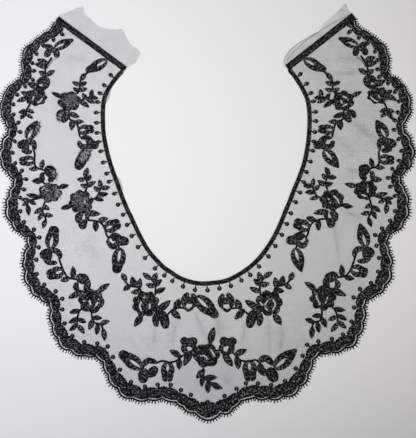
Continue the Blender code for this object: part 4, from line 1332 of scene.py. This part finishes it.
OUTER_MIDDLE = (
    ("slit", 27.0, 140.0, 37.5, 120.5, 11.4, 0.3),
    ("petal", 9.2, 29.0, 141.6, 23.5, 144.2, 17.2, 146.0),
    ("petal", 6.6, 27.0, 142.0, 26.2, 147.0, 24.6, 152.6),
    ("petal", 4.4, 27.6, 141.6, 30.4, 142.8, 33.0, 144.8),
    ("petal", 5.4, 28.0, 141.0, 33.0, 141.8, 34.4, 146.0, 33.4, 151.0),
    ("petal", 5.6, 21.5, 149.6, 26.6, 151.6, 32.4, 152.0),
    ("stem", 33.0, 149.0, 34.8, 154.0, 34.6, 164.0, 38.0, 168.4, 42.0, 169.2, 46.0, 171.5),
    ("hang", 35.0, 160.4, 19.0, 161.4, 10.6),
    ("leaf", 38.5, 168.7, 28.5, 169.2, 4.8),
    ("leaf", 41.0, 169.0, 43.5, 159.0, 5.2),
    ("petal", 11.6, 44.0, 170.6, 49.5, 171.2, 55.0, 174.4),
    ("petal", 6.4, 53.6, 173.0, 52.0, 178.0, 48.2, 181.4),
    ("petal", 5.2, 43.8, 172.4, 41.9, 176.4, 44.2, 181.0),
    ("leaf", 43.5, 180.5, 31.5, 181.0, 6.0),
    ("stem", 43.5, 178.0, 42.5, 181.4, 46.5, 185.0),
    ("leaf", 58.0, 188.0, 69.3, 185.3, 5.0),
    ("leaf", 40.0, 197.0, 25.8, 194.5, 4.8),
    ("stem", 44.0, 196.6, 34.0, 199.5, 28.5, 201.0, 27.6, 208.0),
    ("leaf", 30.0, 200.0, 20.6, 199.6, 4.4),
    ("leaf", 29.5, 200.5, 36.5, 204.7, 4.4),
    ("leaf", 28.4, 202.0, 21.8, 205.6, 4.2),
    ("leaf", 27.6, 205.0, 28.7, 215.7, 5.0),
    ("stem", 45.5, 200.5, 43.0, 208.0, 43.0, 213.5, 45.4, 218.0, 46.0, 223.0),
    ("leaf", 43.2, 208.0, 33.8, 213.7, 5.0),
    ("leaf", 42.8, 206.5, 49.8, 210.0, 5.0),
    ("leaf", 43.2, 212.5, 38.0, 221.0, 4.6),
    ("leaf", 43.8, 214.3, 53.8, 216.0, 4.6),
    ("leaf", 46.2, 219.5, 42.8, 229.0, 4.8),
)
OUTER_LOWER = (
    ("petal", 10.2, 52.0, 251.0, 46.0, 253.8, 40.2, 257.0),
    ("petal", 7.0, 50.0, 251.5, 49.0, 256.0, 46.6, 262.0),
    ("petal", 6.2, 50.5, 250.8, 56.4, 251.0, 59.6, 254.6, 59.8, 259.4),
    ("petal", 5.4, 43.5, 259.0, 49.4, 262.6, 57.5, 262.8),
    ("stem", 59.0, 258.0, 60.2, 262.0, 63.2, 270.0, 66.5, 275.7, 70.5, 278.3, 79.0, 279.5),
    ("hang", 64.2, 270.8, 46.6, 275.6, 12.8),
    ("leaf", 72.5, 278.5, 73.0, 266.0, 6.0),
    ("leaf", 69.8, 278.6, 60.0, 280.8, 5.4),
    ("petal", 10.8, 75.8, 279.2, 82.0, 278.6, 88.6, 282.0),
    ("petal", 6.8, 87.2, 279.0, 87.6, 285.0, 84.6, 291.4),
    ("petal", 5.8, 78.2, 282.5, 75.8, 286.6, 78.8, 291.4),
    ("stem", 80.0, 289.5, 82.5, 291.5, 87.0, 292.0),
    ("leaf", 82.5, 291.0, 68.0, 298.3, 6.2),
    ("leaf", 97.0, 293.5, 110.0, 283.5, 5.6),
    ("stem", 82.5, 308.0, 79.0, 312.0, 77.4, 319.0, 77.2, 326.0),
    ("leaf", 80.5, 310.5, 69.0, 313.0, 5.0),
    ("leaf", 78.0, 317.5, 68.3, 323.0, 5.0),
    ("leaf", 77.8, 319.0, 86.5, 322.5, 5.0),
    ("leaf", 77.4, 323.0, 69.0, 331.0, 5.0),
    ("leaf", 77.4, 325.0, 84.6, 334.0, 5.2),
    ("stem", 91.5, 310.0, 92.2, 318.0, 95.0, 322.8, 101.0, 324.6, 103.4, 331.0),
    ("leaf", 92.0, 318.0, 102.5, 318.2, 5.0),
    ("leaf", 92.8, 319.5, 88.8, 330.0, 5.8),
    ("leaf", 100.0, 324.6, 110.0, 320.7, 5.0),
    ("leaf", 97.6, 323.8, 96.5, 335.3, 5.4),
    ("leaf", 102.8, 328.5, 104.6, 341.0, 5.6),
)
print("outer rows:", len(OUTER_TOP), len(OUTER_MIDDLE), len(OUTER_LOWER))

# %% Tables of the inner sprays
INNER_TOP = (
    ("slit", 107.4, 60.0, 86.0, 72.4, 10.4, 0.5),
    ("petal", 7.6, 97.0, 64.8, 91.0, 68.6, 85.6, 71.4),
    ("stem", 90.0, 70.4, 84.0, 76.0, 80.4, 81.0, 79.4, 90.0, 76.0, 94.5),
    ("leaf", 86.0, 73.8, 79.8, 81.6, 5.2),
    ("leaf", 80.0, 84.8, 72.0, 81.8, 4.6),
    ("leaf", 79.5, 85.4, 87.2, 81.8, 4.8),
    ("leaf", 79.5, 90.8, 72.7, 87.8, 4.6),
    ("leaf", 79.0, 91.0, 88.0, 88.8, 4.6),
    ("leaf", 62.0, 97.0, 51.5, 92.5, 4.6),
    ("stem", 78.0, 101.5, 84.0, 99.3, 91.0, 96.4),
    ("leaf", 86.5, 99.2, 82.2, 93.0, 4.8),
    ("leaf", 91.0, 97.0, 92.3, 89.2, 4.8),
    ("leaf", 90.0, 96.6, 98.5, 98.3, 4.4),
    ("leaf", 86.0, 98.8, 95.5, 103.3, 4.6),
    ("leaf", 79.0, 101.0, 89.5, 107.6, 5.0),
    ("stem", 69.0, 110.0, 69.4, 115.0, 70.0, 119.3, 76.5, 122.8, 78.5, 130.0, 80.2, 138.0),
    ("petal", 6.5, 66.0, 111.0, 60.0, 113.5, 58.5, 118.5),
    ("petal", 7.0, 67.5, 112.0, 65.5, 117.5, 62.0, 122.5),
    ("leaf", 69.0, 113.0, 79.8, 117.2, 5.4),
    ("leaf", 74.5, 121.7, 84.4, 121.7, 4.8),
    ("leaf", 72.5, 120.0, 71.4, 130.6, 6.4),
    ("hang", 77.6, 130.6, 94.4, 128.8, 10.4),
    ("petal", 5.2, 80.4, 138.4, 86.6, 137.6, 91.0, 140.4, 92.4, 144.6),
    ("petal", 5.6, 79.2, 140.4, 80.4, 145.4, 87.4, 148.2),
    ("petal", 5.6, 80.6, 146.0, 86.8, 146.8, 94.0, 146.4),
    ("petal", 4.8, 85.6, 139.4, 89.0, 142.0, 90.4, 146.0),
    ("petal", 8.8, 86.2, 145.4, 92.0, 144.6, 98.8, 146.6),
)
INNER_MIDDLE = (
    ("leaf", 84.2, 177.0, 87.8, 167.4, 5.4),
    ("stem", 84.0, 175.0, 86.6, 180.5, 87.4, 186.0, 85.0, 192.0),
    ("leaf", 85.3, 179.3, 76.5, 179.2, 4.8),
    ("leaf", 86.2, 180.6, 91.2, 174.5, 4.8),
    ("leaf", 87.6, 186.5, 80.0, 184.6, 4.8),
    ("leaf", 87.0, 187.0, 96.0, 181.5, 5.2),
    ("leaf", 72.0, 206.0, 60.5, 208.7, 5.2),
    ("stem", 90.0, 199.2, 95.6, 198.2, 98.6, 193.6, 100.2, 189.2, 103.0, 186.6),
    ("leaf", 101.0, 188.0, 99.3, 179.0, 4.8),
    ("leaf", 99.6, 191.4, 93.3, 186.3, 4.8),
    ("leaf", 101.0, 188.0, 110.6, 187.2, 5.2),
    ("leaf", 98.0, 194.4, 108.6, 193.6, 5.2),
    ("leaf", 94.0, 198.4, 104.2, 200.6, 4.6),
    ("petal", 7.6, 82.6, 212.4, 78.6, 217.4, 79.6, 223.4),
    ("petal", 4.6, 85.0, 211.8, 87.4, 216.4, 86.4, 221.8),
    ("petal", 8.8, 80.8, 219.6, 82.6, 224.4, 82.2, 229.4),
    ("petal", 5.0, 86.4, 219.4, 85.0, 223.0, 83.0, 227.0),
    ("leaf", 85.0, 213.0, 100.6, 214.2, 6.0),
    ("stem", 87.0, 220.0, 96.0, 221.0, 101.5, 223.4, 104.9, 229.0, 106.6, 235.0, 109.5, 239.0),
    ("leaf", 98.0, 221.6, 108.3, 218.2, 5.8),
    ("leaf", 95.4, 220.8, 95.6, 232.0, 6.0),
    ("hang", 104.2, 229.2, 120.6, 222.6, 13.0),
    ("petal", 5.6, 109.2, 237.8, 114.8, 235.4, 121.8, 237.8),
    ("petal", 5.8, 108.8, 241.8, 111.2, 246.0, 117.4, 247.6),
    ("petal", 9.8, 115.4, 242.2, 121.5, 241.0, 129.2, 242.0),
    ("petal", 5.6, 112.0, 246.6, 116.6, 244.6, 121.0, 243.0),
    ("petal", 4.8, 111.4, 239.0, 116.0, 239.4, 121.0, 240.6),
    ("petal", 3.4, 108.8, 238.4, 107.9, 241.8, 109.6, 245.4),
    ("stem", 117.6, 244.0, 120.2, 251.0),
)
INNER_LOWER = (
    ("stem", 121.6, 274.6, 125.0, 281.0, 129.4, 285.4, 139.0, 288.0, 142.0, 294.0),
    ("leaf", 121.8, 273.8, 126.4, 282.8, 5.6),
    ("leaf", 133.6, 287.2, 131.8, 276.3, 6.4),
    ("leaf", 139.3, 289.0, 140.6, 278.0, 6.0),
    ("leaf", 130.5, 285.8, 123.0, 290.7, 5.4),
    ("leaf", 140.6, 290.5, 130.7, 292.6, 5.4),
    ("leaf", 142.0, 315.0, 134.0, 326.8, 6.8),
    ("stem", 155.3, 296.0, 155.4, 286.0, 153.4, 281.5, 150.0, 277.8),
    ("leaf", 151.6, 279.2, 142.4, 272.8, 5.2),
    ("leaf", 153.5, 282.0, 157.0, 272.4, 6.0),
    ("leaf", 155.3, 285.8, 145.4, 284.2, 5.4),
    ("leaf", 154.8, 286.4, 162.0, 279.4, 5.6),
    ("leaf", 154.8, 292.4, 166.0, 287.7, 5.4),
    ("stem", 150.0, 308.5, 161.0, 313.5),
    ("petal", 7.0, 158.4, 311.2, 155.6, 318.6, 156.8, 327.0),
    ("petal", 10.0, 161.0, 310.8, 164.2, 319.4, 166.2, 328.8),
    ("leaf", 157.0, 310.6, 170.8, 300.4, 6.8),
    ("stem", 164.0, 318.0, 170.8, 311.4, 174.6, 308.4, 178.0, 307.4, 185.0, 308.2),
    ("leaf", 174.8, 309.2, 179.4, 298.4, 7.0),
    ("leaf", 171.4, 309.8, 181.0, 319.4, 6.4),
    ("petal", 6.8, 184.2, 307.0, 184.4, 299.6, 188.4, 292.6),
    ("petal", 6.2, 193.8, 307.6, 194.8, 300.4, 192.0, 293.2),
    ("petal", 3.2, 183.3, 306.0, 188.5, 310.4, 194.7, 305.5),
    ("petal", 7.4, 185.4, 301.2, 190.0, 300.4, 194.6, 301.0),
)
print("inner rows:", len(INNER_TOP), len(INNER_MIDDLE), len(INNER_LOWER))

# %% Rows of one side only
ONE_SIDE = {
    "inner_lower_left": (("slit", 195.4, 296.0, 218.0, 317.4, 14.2, 0.66),),
    "inner_top_left": (
        ("petal", 11.0, 84.6, 153.0, 81.0, 161.0, 77.0, 169.8),
        ("frayed", 12.6, 89.0, 148.4, 85.0, 154.6, 79.6, 164.4),
        ("frayed", 6.4, 64.0, 111.6, 59.8, 116.0, 60.6, 121.6),
    ),
    "outer_middle_left": (
        ("frayed", 4.6, 38.8, 122.0, 37.4, 128.0, 34.0, 134.6),
        ("frayed", 6.0, 50.0, 169.6, 54.0, 173.0, 53.6, 178.4),
        ("frayed", 7.6, 54.6, 187.0, 57.4, 192.0, 55.4, 198.6),
    ),
    "outer_lower_left": (("slit", 50.0, 249.5, 54.9, 225.8, 12.8, 0.84),),
    "outer_lower_right": (("slit", 366.4, 247.4, 359.6, 223.2, 12.0, 0.1),),
    "inner_top_right": (("slit", 323.5, 149.5, 339.0, 168.0, 11.6, 0.1),),
    "inner_middle_left": (("slit", 120.6, 247.5, 116.2, 273.6, 13.0, 0.75),),
    "inner_middle_right": (("slit", 294.6, 247.6, 301.6, 272.0, 12.2, 0.4),),
    "outer_middle_right": (("petal", 5.6, 380.5, 144.3, 384.8, 143.4, 390.5, 146.5),),
}
print("sprays with rows of their own:", len(ONE_SIDE))

# %% Table of the back spray
BACK_SPRAY = (
    ("slit", 142.0, 368.6, 119.2, 352.0, 13.4, 0.74),
    ("petal", 6.2, 140.8, 368.4, 147.8, 360.8, 157.4, 362.8),
    ("petal", 10.8, 144.0, 367.8, 143.4, 375.6, 143.0, 383.2),
    ("petal", 9.4, 145.0, 373.4, 151.2, 373.0, 156.8, 366.6),
    ("stem", 155.0, 363.6, 162.0, 361.0, 170.0, 362.3, 177.0, 360.4, 181.4, 356.4, 186.0, 354.5),
    ("hang", 168.0, 361.4, 167.2, 382.0, 13.6),
    ("leaf", 179.0, 358.2, 178.7, 370.2, 6.0),
    ("leaf", 181.2, 357.4, 169.3, 349.9, 6.0),
    ("petal", 9.0, 189.6, 345.8, 185.4, 342.0, 181.4, 338.0),
    ("petal", 9.0, 188.4, 345.8, 192.6, 342.0, 194.8, 337.2),
    ("petal", 7.0, 181.8, 340.6, 188.4, 341.4, 195.2, 340.0),
    ("petal", 6.0, 184.4, 343.6, 184.0, 349.0, 188.2, 354.6),
    ("petal", 5.4, 193.4, 343.4, 194.6, 349.0, 197.2, 353.6),
    ("stem", 186.0, 354.0, 192.0, 354.6, 198.0, 352.6),
    ("leaf", 191.6, 350.8, 183.8, 366.2, 7.2),
    ("leaf", 210.0, 344.0, 214.2, 327.0, 7.2),
    ("petal", 9.0, 227.8, 345.6, 224.4, 341.6, 221.4, 337.4),
    ("petal", 9.0, 227.4, 345.6, 232.0, 341.6, 234.6, 337.6),
    ("petal", 7.0, 221.2, 341.0, 228.0, 341.6, 235.0, 340.4),
    ("petal", 6.2, 232.0, 343.4, 231.6, 348.6, 228.4, 354.0),
    ("petal", 4.2, 219.8, 350.6, 225.4, 353.4, 231.6, 352.2),
    ("petal", 5.0, 222.4, 343.6, 221.2, 347.6, 221.6, 352.4),
    ("stem", 216.0, 350.6, 221.0, 349.4, 222.0, 344.0),
    ("leaf", 223.6, 352.6, 233.0, 366.6, 7.2),
    ("leaf", 236.4, 356.2, 238.2, 369.6, 7.0),
    ("leaf", 234.6, 355.0, 247.2, 349.6, 6.4),
    ("stem", 230.0, 349.6, 235.2, 355.0, 239.6, 360.0, 248.0, 361.4, 255.4, 360.0, 261.0, 364.0),
    ("hang", 249.0, 359.6, 250.6, 381.6, 14.6),
    ("petal", 7.0, 258.0, 362.4, 265.6, 358.2, 274.0, 365.4),
    ("petal", 7.8, 260.0, 363.4, 261.4, 369.8, 266.8, 374.8),
    ("petal", 11.8, 267.4, 368.4, 272.0, 374.4, 275.8, 382.0),
    ("slit", 274.0, 368.8, 297.0, 349.0, 14.0, 0.42),
    ("stem", 203.4, 366.0, 203.6, 376.0, 207.0, 380.2, 212.0, 383.4),
    ("leaf", 204.6, 370.0, 196.2, 378.4, 6.4),
    ("leaf", 204.4, 377.6, 217.4, 377.4, 6.0),
    ("leaf", 203.4, 375.0, 201.6, 387.2, 5.2),
    ("leaf", 208.8, 380.6, 208.0, 393.6, 6.0),
    ("leaf", 211.0, 382.6, 223.0, 388.8, 6.0),
)
print("back rows:", len(BACK_SPRAY))

# %% Stitch the sprays
THREAD_HALF = 0.3
LEAF_FULLER = 1.06
LEAF_BACK = -0.06  # how far a leaf's foot reaches back into its stem, as a share of its length
HANGING = {"slit": (0.12, 0.5, 0.1), "blunt": 0.86, "notch": 0.04}


def pairs(numbers, place):
    """The places of a row's numbers, which go across, down, across, down."""
    return [place(numbers[i], numbers[i + 1]) for i in range(0, len(numbers), 2)]


def stitch_row(shape, row, place):
    """Stitches one row of a table."""
    kind, *numbers = row
    if kind == "stem":
        stem(shape, pairs(numbers, place))
    elif kind == "thread":
        stem(shape, pairs(numbers, place), THREAD_HALF)
    elif kind == "petal":
        petal(shape, pairs(numbers[1:], place), numbers[0] * DIVISION)
    elif kind == "frayed":
        frayed(shape, pairs(numbers[1:], place), numbers[0] * DIVISION)
    else:
        foot, tip = pairs(numbers[:4], place)
        width = numbers[4] * DIVISION
        if kind == "leaf":
            leaf(shape, foot.lerp(tip, LEAF_BACK), tip, width * LEAF_FULLER)
        elif kind == "slit":
            slit_leaf(shape, foot, tip, width * LEAF_FULLER, blunt=numbers[5])
        else:
            slit_leaf(shape, foot, tip, width, **HANGING)


def stitch_spray(name, table, place):
    """Stitches a spray's table, its rows of one side only, and its roses, as one piece."""
    shape = bmesh.new()
    for row in table:
        stitch_row(shape, row, place)
    for row in ONE_SIDE.get(name, ()):
        stitch_row(shape, row, at)
    for spray, across, down, half_wide, half_tall, right, below, sheen, crescents in ROSES:
        if spray == name:
            openings = [pairs(crescent, lambda x, y: Vector((x, -y))) for crescent in crescents]
            bud = Vector((right, -below))
            rose(shape, at(across, down), half_wide, half_tall, bud, openings, sheen)
    return finish_piece("stitched_" + name, shape, stitching, ("spray_" + name,))


HALF_SPRAYS = {
    "outer_top": OUTER_TOP,
    "outer_middle": OUTER_MIDDLE,
    "outer_lower": OUTER_LOWER,
    "inner_top": INNER_TOP,
    "inner_middle": INNER_MIDDLE,
    "inner_lower": INNER_LOWER,
}
sprays = [stitch_spray("back", BACK_SPRAY, at)]
for name, table in HALF_SPRAYS.items():
    sprays.append(stitch_spray(name + "_left", table, at))
    sprays.append(stitch_spray(name + "_right", table, at_turned))
print("sprays:", len(sprays))

# %% [markdown]
# ## Net ground
#
# The net is one cut piece. Its outline follows the outer cord, the raw ends past the bars and the
# neckline. The raw ends are cut a little ragged, and in two places a sliver of net shows past the
# neckline cord. The flat piece is filled, cut into small squares so that it can bend, creased, and
# given its thickness.

# %% Outline of the net
LEFT_TAB = (
    (54.0, 21.8), (58.4, 15.8), (66.0, 12.4), (70.5, 11.0), (81.6, 6.2), (83.4, 7.0), (84.4, 13.0),
    (86.2, 16.4), (89.8, 17.6), (93.4, 22.0), (97.0, 25.4), (106.0, 28.6), (113.0, 29.4),
    (120.6, 28.8), (124.0, 31.6), (128.2, 40.6), (131.0, 44.6), (136.4, 48.0), (141.0, 53.4),
    (138.2, 56.8), (136.4, 62.0), (128.8, 67.4),
)
RIGHT_TAB = (
    (356.4, 18.4), (351.0, 13.0), (347.6, 8.0), (345.4, 3.2), (337.5, 11.5), (330.0, 17.7),
    (322.5, 25.2), (318.7, 31.0), (305.0, 38.6), (292.5, 47.4), (286.2, 54.8), (283.4, 60.6),
    (283.0, 66.0),
)
NET_LIP = 0.0009  # how far the net reaches past the middle of the outer cord
RAGGED_STEP = 0.0012
RAGGED_REACH = 0.55  # how far the raw edge strays from its line, in divisions
TURN_POINTS = 14  # how many points on either side are looked at where a line turns in
TURN_SLACK = 0.97
# where a sliver of net shows past the neckline cord: across, down, half its length, how far past the
# cord's middle it reaches
SLIVERS = (
    (103.8, 95.0, 9.0, 4.6),
    (118.0, 184.5, 10.0, 4.3),
)


def raw_edge(places):
    """The cut edge of net past an end bar, a little ragged."""
    corners = [at(*place) for place in places]
    edge = []
    for start, end in zip(corners, corners[1:]):
        edge.append(start)
        steps = int((end - start).length / RAGGED_STEP)
        for step in range(1, steps):
            stray = Vector((hand.uniform(-1, 1), hand.uniform(-1, 1))) * RAGGED_REACH * DIVISION
            edge.append(start.lerp(end, step / steps) + stray)
    edge.append(corners[-1])
    return edge


def beside(line, distance):
    """The line moved to its right, without the points that would crowd where it turns in."""
    moved = []
    for i, point in enumerate(line):
        new = point + sideways(line, i) * distance
        near = line[max(i - TURN_POINTS, 0) : i + TURN_POINTS + 1]
        if min((new - other).length for other in near) > abs(distance) * TURN_SLACK:
            moved.append(new)
    return moved


def neck_edge():
    """The net's edge under the neckline cord, with its slivers."""
    line = evenly(neck_line, 0.003)
    edge = []
    for i, point in enumerate(line):
        out = 0.0
        for across, down, half, reach in SLIVERS:
            far = (point - at(across, down)).length / (half * DIVISION)
            out = max(out, reach * math.exp(-(far**4)))
        edge.append(point - sideways(line, i) * out * DIVISION)
    return edge


net_outline = beside(evenly(cord_path, 0.0012), NET_LIP)
net_outline += raw_edge(RIGHT_TAB)
net_outline += list(reversed(neck_edge()))
net_outline += list(reversed(raw_edge(LEFT_TAB)))
print("net outline points:", len(net_outline))

# %% Fill the net
net = bmesh.new()
rim = [net.verts.new((p.x, p.y, 0.0)) for p in net_outline]
for start, end in zip(rim, rim[1:] + rim[:1]):
    net.edges.new((start, end))
bmesh.ops.triangle_fill(net, edges=net.edges, use_beauty=True)
net_area = sum(face.calc_area() for face in net.faces)
print("area of the net, m2:", round(net_area, 4))

# %% Divide it into squares
NET_SQUARE = 0.0019
low_corner, high_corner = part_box("net_ground")
for axis, square_on in enumerate((Vector((1.0, 0.0, 0.0)), Vector((0.0, 1.0, 0.0)))):
    cut = low_corner[axis] + NET_SQUARE
    while cut < high_corner[axis]:
        whole = net.verts[:] + net.edges[:] + net.faces[:]
        bmesh.ops.bisect_plane(net, geom=whole, dist=1e-7, plane_co=square_on * cut, plane_no=square_on)
        cut += NET_SQUARE
print("net faces:", len(net.faces))

# %% [markdown]
# The creases are soft ridges of uneven length. Where the net creases its threads crowd together, so
# each point also keeps how creased it is, for the material. The net's threads are also drawn thicker,
# so the net is darker, in the right half and at the back, and thinner past the right bar.

# %% Creases in the net
# start across and down, end across and down, half width in divisions, height in mm, crowding
CREASES = (
    (194.0, 311.0, 205.0, 334.0, 1.5, 0.5, 0.6),
    (211.0, 328.0, 206.0, 346.0, 1.6, 0.4, 0.3),
    (217.5, 310.0, 220.0, 337.0, 3.0, 0.5, 0.4),
    (245.0, 326.0, 242.5, 341.0, 2.0, 0.5, 0.6),
    (268.6, 317.0, 269.6, 350.0, 1.3, 0.4, 0.7),
    (283.0, 330.0, 280.0, 352.0, 2.2, 0.6, 0.35),
    (155.0, 330.0, 154.0, 346.0, 2.4, 0.5, 0.35),
    (176.0, 318.0, 172.0, 345.0, 2.4, 0.5, 0.25),
    (221.0, 371.0, 234.0, 390.0, 4.0, 0.3, 0.3),
    (333.0, 214.0, 339.0, 262.0, 1.6, 0.4, 0.5),
    (342.0, 209.6, 360.0, 218.0, 1.3, 0.4, 1.1),
    (348.0, 168.0, 361.0, 176.0, 2.2, 0.4, 0.45),
    (350.0, 120.0, 374.0, 138.0, 3.2, 0.5, 0.25),
    (335.0, 136.0, 352.0, 151.0, 1.7, 0.4, 0.26),
    (340.0, 58.0, 364.0, 61.0, 1.4, 0.5, 0.16),
    (337.0, 75.0, 357.0, 72.0, 1.6, 0.4, 0.4),
    (62.0, 56.0, 86.0, 60.0, 1.6, 0.3, 0.2),
    (84.0, 244.0, 98.0, 256.0, 5.0, 0.3, 0.3),
    (341.0, 10.0, 300.0, 40.0, 8.0, 0.0, -1.5),
    (105.6, 88.0, 106.4, 104.0, 3.0, 0.0, 1.6),
    (117.4, 176.0, 123.0, 192.0, 3.0, 0.0, 1.6),
)


CREASE_STRAY = 0.4  # how far a crease strays from its line, as a share of its half width
STRAY_MOST = 1.2  # the most that it strays, in divisions
STRAY_SCALE = 90
FADE_PAST = 0.25  # how far past its ends a crease fades out, as a share of its length
CROWDING = 0.6
NET_DARKER_RIGHT = 0.42  # how much thicker the threads are drawn in the right half than in the left, so the net is darker there
NET_DARKER_BACK = 0.44  # the same for the back, against the ends
RIGHT_FROM, RIGHT_OVER = at(150, 0).x, 180 * DIVISION
BACK_FROM, BACK_OVER = at(0, 262).y, 115 * DIVISION


def crease_at(place):
    """How high and how crowded the net is here."""
    rightwards = min(max((place.x - RIGHT_FROM) / RIGHT_OVER, 0.0), 1.0)
    backwards = min(max((BACK_FROM - place.y) / BACK_OVER, 0.0), 1.0)
    height = 0.0
    crowding = NET_DARKER_RIGHT * rightwards + NET_DARKER_BACK * backwards
    for across, down, end_across, end_down, half, rise, crowd in CREASES:
        start, end = at(across, down), at(end_across, end_down)
        run = end - start
        t = (place - start).dot(run) / run.length_squared
        if not -FADE_PAST < t < 1 + FADE_PAST:
            continue
        uneven = noise.noise(Vector((place.x, place.y, 0.0)) * STRAY_SCALE)
        stray = uneven * min(STRAY_MOST, CREASE_STRAY * half) * DIVISION
        off = ((place - start) - run * t).length + stray
        fade = math.sin(math.pi * (t + FADE_PAST) / (1 + 2 * FADE_PAST))
        share = math.exp(-((off / (half * DIVISION)) ** 2)) * fade
        height += rise * 0.001 * share
        crowding += CROWDING * crowd * share
    return height, crowding


crease_layer = net.verts.layers.float.new(CREASE)
for vert in net.verts:
    height, crowding = crease_at(vert.co.xy)
    vert.co.z = height
    vert[crease_layer] = crowding
print("creases:", len(CREASES))

# %% Thickness of the net
UNDER_STITCHES = 0.00005  # how far the net's top stays under the stitches
bmesh.ops.recalc_face_normals(net, faces=net.faces)
if sum(face.normal.z for face in net.faces) > 0:
    bmesh.ops.reverse_faces(net, faces=net.faces)
top = bmesh.ops.extrude_face_region(net, geom=net.faces[:])
top_verts = [v for v in top["geom"] if isinstance(v, bmesh.types.BMVert)]
bmesh.ops.translate(net, verts=top_verts, vec=(0.0, 0.0, NET_TOP - UNDER_STITCHES))
bmesh.ops.triangulate(net, faces=[face for face in net.faces if len(face.verts) > 4])
print("net faces with both sides:", len(net.faces))

# %% [markdown]
# Past the right bar the raw edge is rolled over, so it shows as dark lines. They are very fine ribbons
# in the same piece, and so crowded that no light comes through them.

# %% Rolled edges
# half the width in divisions, then across and down of each place
ROLLED = (
    (0.15, 350.0, 14.4, 336.0, 21.5, 322.5, 29.4, 316.0, 34.0, 305.0, 41.5, 299.0, 47.0),
    (0.13, 319.0, 31.6, 305.0, 39.2, 292.5, 48.0, 286.2, 55.4, 284.0, 61.0),
    (0.09, 300.0, 46.4, 292.0, 53.4, 286.4, 61.4),
)
ROLLED_RISE = 0.0002
ROLLED_CROWDING = 12.0
for half, *places in ROLLED:
    flat_verts = len(net.verts)
    line = evenly(through(pairs(places, at)), 0.002)
    ribbon(net, line, round_ended(line, half * DIVISION), ROLLED_RISE, sides=4)
    crease_layer = net.verts.layers.float[CREASE]
    for vert in list(net.verts)[flat_verts:]:
        vert[crease_layer] = ROLLED_CROWDING
print("rolled lines:", len(ROLLED))
net_piece = finish_piece("net_ground_tulle", net, tulle, ("net_ground",))

# %% [markdown]
# ## Table and light
#
# The collar lies on a plain pale table. The window is one large soft light over the upper left, turned
# outwards, so the table darkens towards the lower right. A weak warm lamp shines past the right side,
# and a dim, slightly violet sky fills the shadows.

# %% Table
TABLE_HALF = 3.0  # half the side of the table, in metres
TABLE_PALE = (0.80, 0.80, 0.80, 1.0)
TABLE_PALER = (0.815, 0.815, 0.81, 1.0)
MOTTLE_SCALE = 5.0

table_shape = bmesh.new()
bmesh.ops.create_grid(table_shape, x_segments=1, y_segments=1, size=TABLE_HALF)
table_mesh = bpy.data.meshes.new("table")
table_shape.to_mesh(table_mesh)
table_shape.free()
paint, paint_tree, paint_shader = new_material("pale_table")
paint_place = wire(paint_tree, "ShaderNodeTexCoord").outputs["Object"]
mottle = clouds(paint_tree, paint_place, MOTTLE_SCALE)
paint_colour = mix(paint_tree, mottle, TABLE_PALE, TABLE_PALER)
paint_tree.links.new(paint_colour, paint_shader.inputs["Base Color"])
paint_shader.inputs["Roughness"].default_value = 0.8
paint_shader.inputs["Specular IOR Level"].default_value = 0.1
table_mesh.materials.append(paint)
table = bpy.data.objects.new("table", table_mesh)
bpy.context.scene.collection.objects.link(table)
print("table side, m:", 2 * TABLE_HALF)

# %% Light
SKY_COLOUR = (0.896, 0.868, 1.0, 1.0)
SKY_STRENGTH = 0.173
# name, place and aim in metres, width in metres, watts, colour
LAMPS = (
    ("window", (-0.110, -0.012, 0.708), (-0.800, 0.281, 0.0), 0.35, 5.75, (0.954, 0.978, 1.0)),
    ("warm_lamp", (0.195, -0.116, 0.450), (0.342, 0.800, 0.0), 0.40, 1.05, (1.0, 0.945, 0.775)),
)
scene = bpy.context.scene
scene.view_settings.view_transform = "Standard"
world = bpy.data.worlds.new("even_sky")
scene.world = world
world.use_nodes = True
sky = world.node_tree.nodes["Background"]
sky.inputs["Color"].default_value = SKY_COLOUR
sky.inputs["Strength"].default_value = SKY_STRENGTH
for name, place, target, width, watts, colour in LAMPS:
    lamp_data = bpy.data.lights.new(name, "AREA")
    lamp_data.shape = "DISK"
    lamp_data.size = width
    lamp_data.energy = watts
    lamp_data.color = colour
    lamp = bpy.data.objects.new(name, lamp_data)
    scene.collection.objects.link(lamp)
    lamp.location = place
    lamp.rotation_euler = (Vector(target) - Vector(place)).to_track_quat("-Z", "Y").to_euler()
print("lamps:", len(LAMPS))
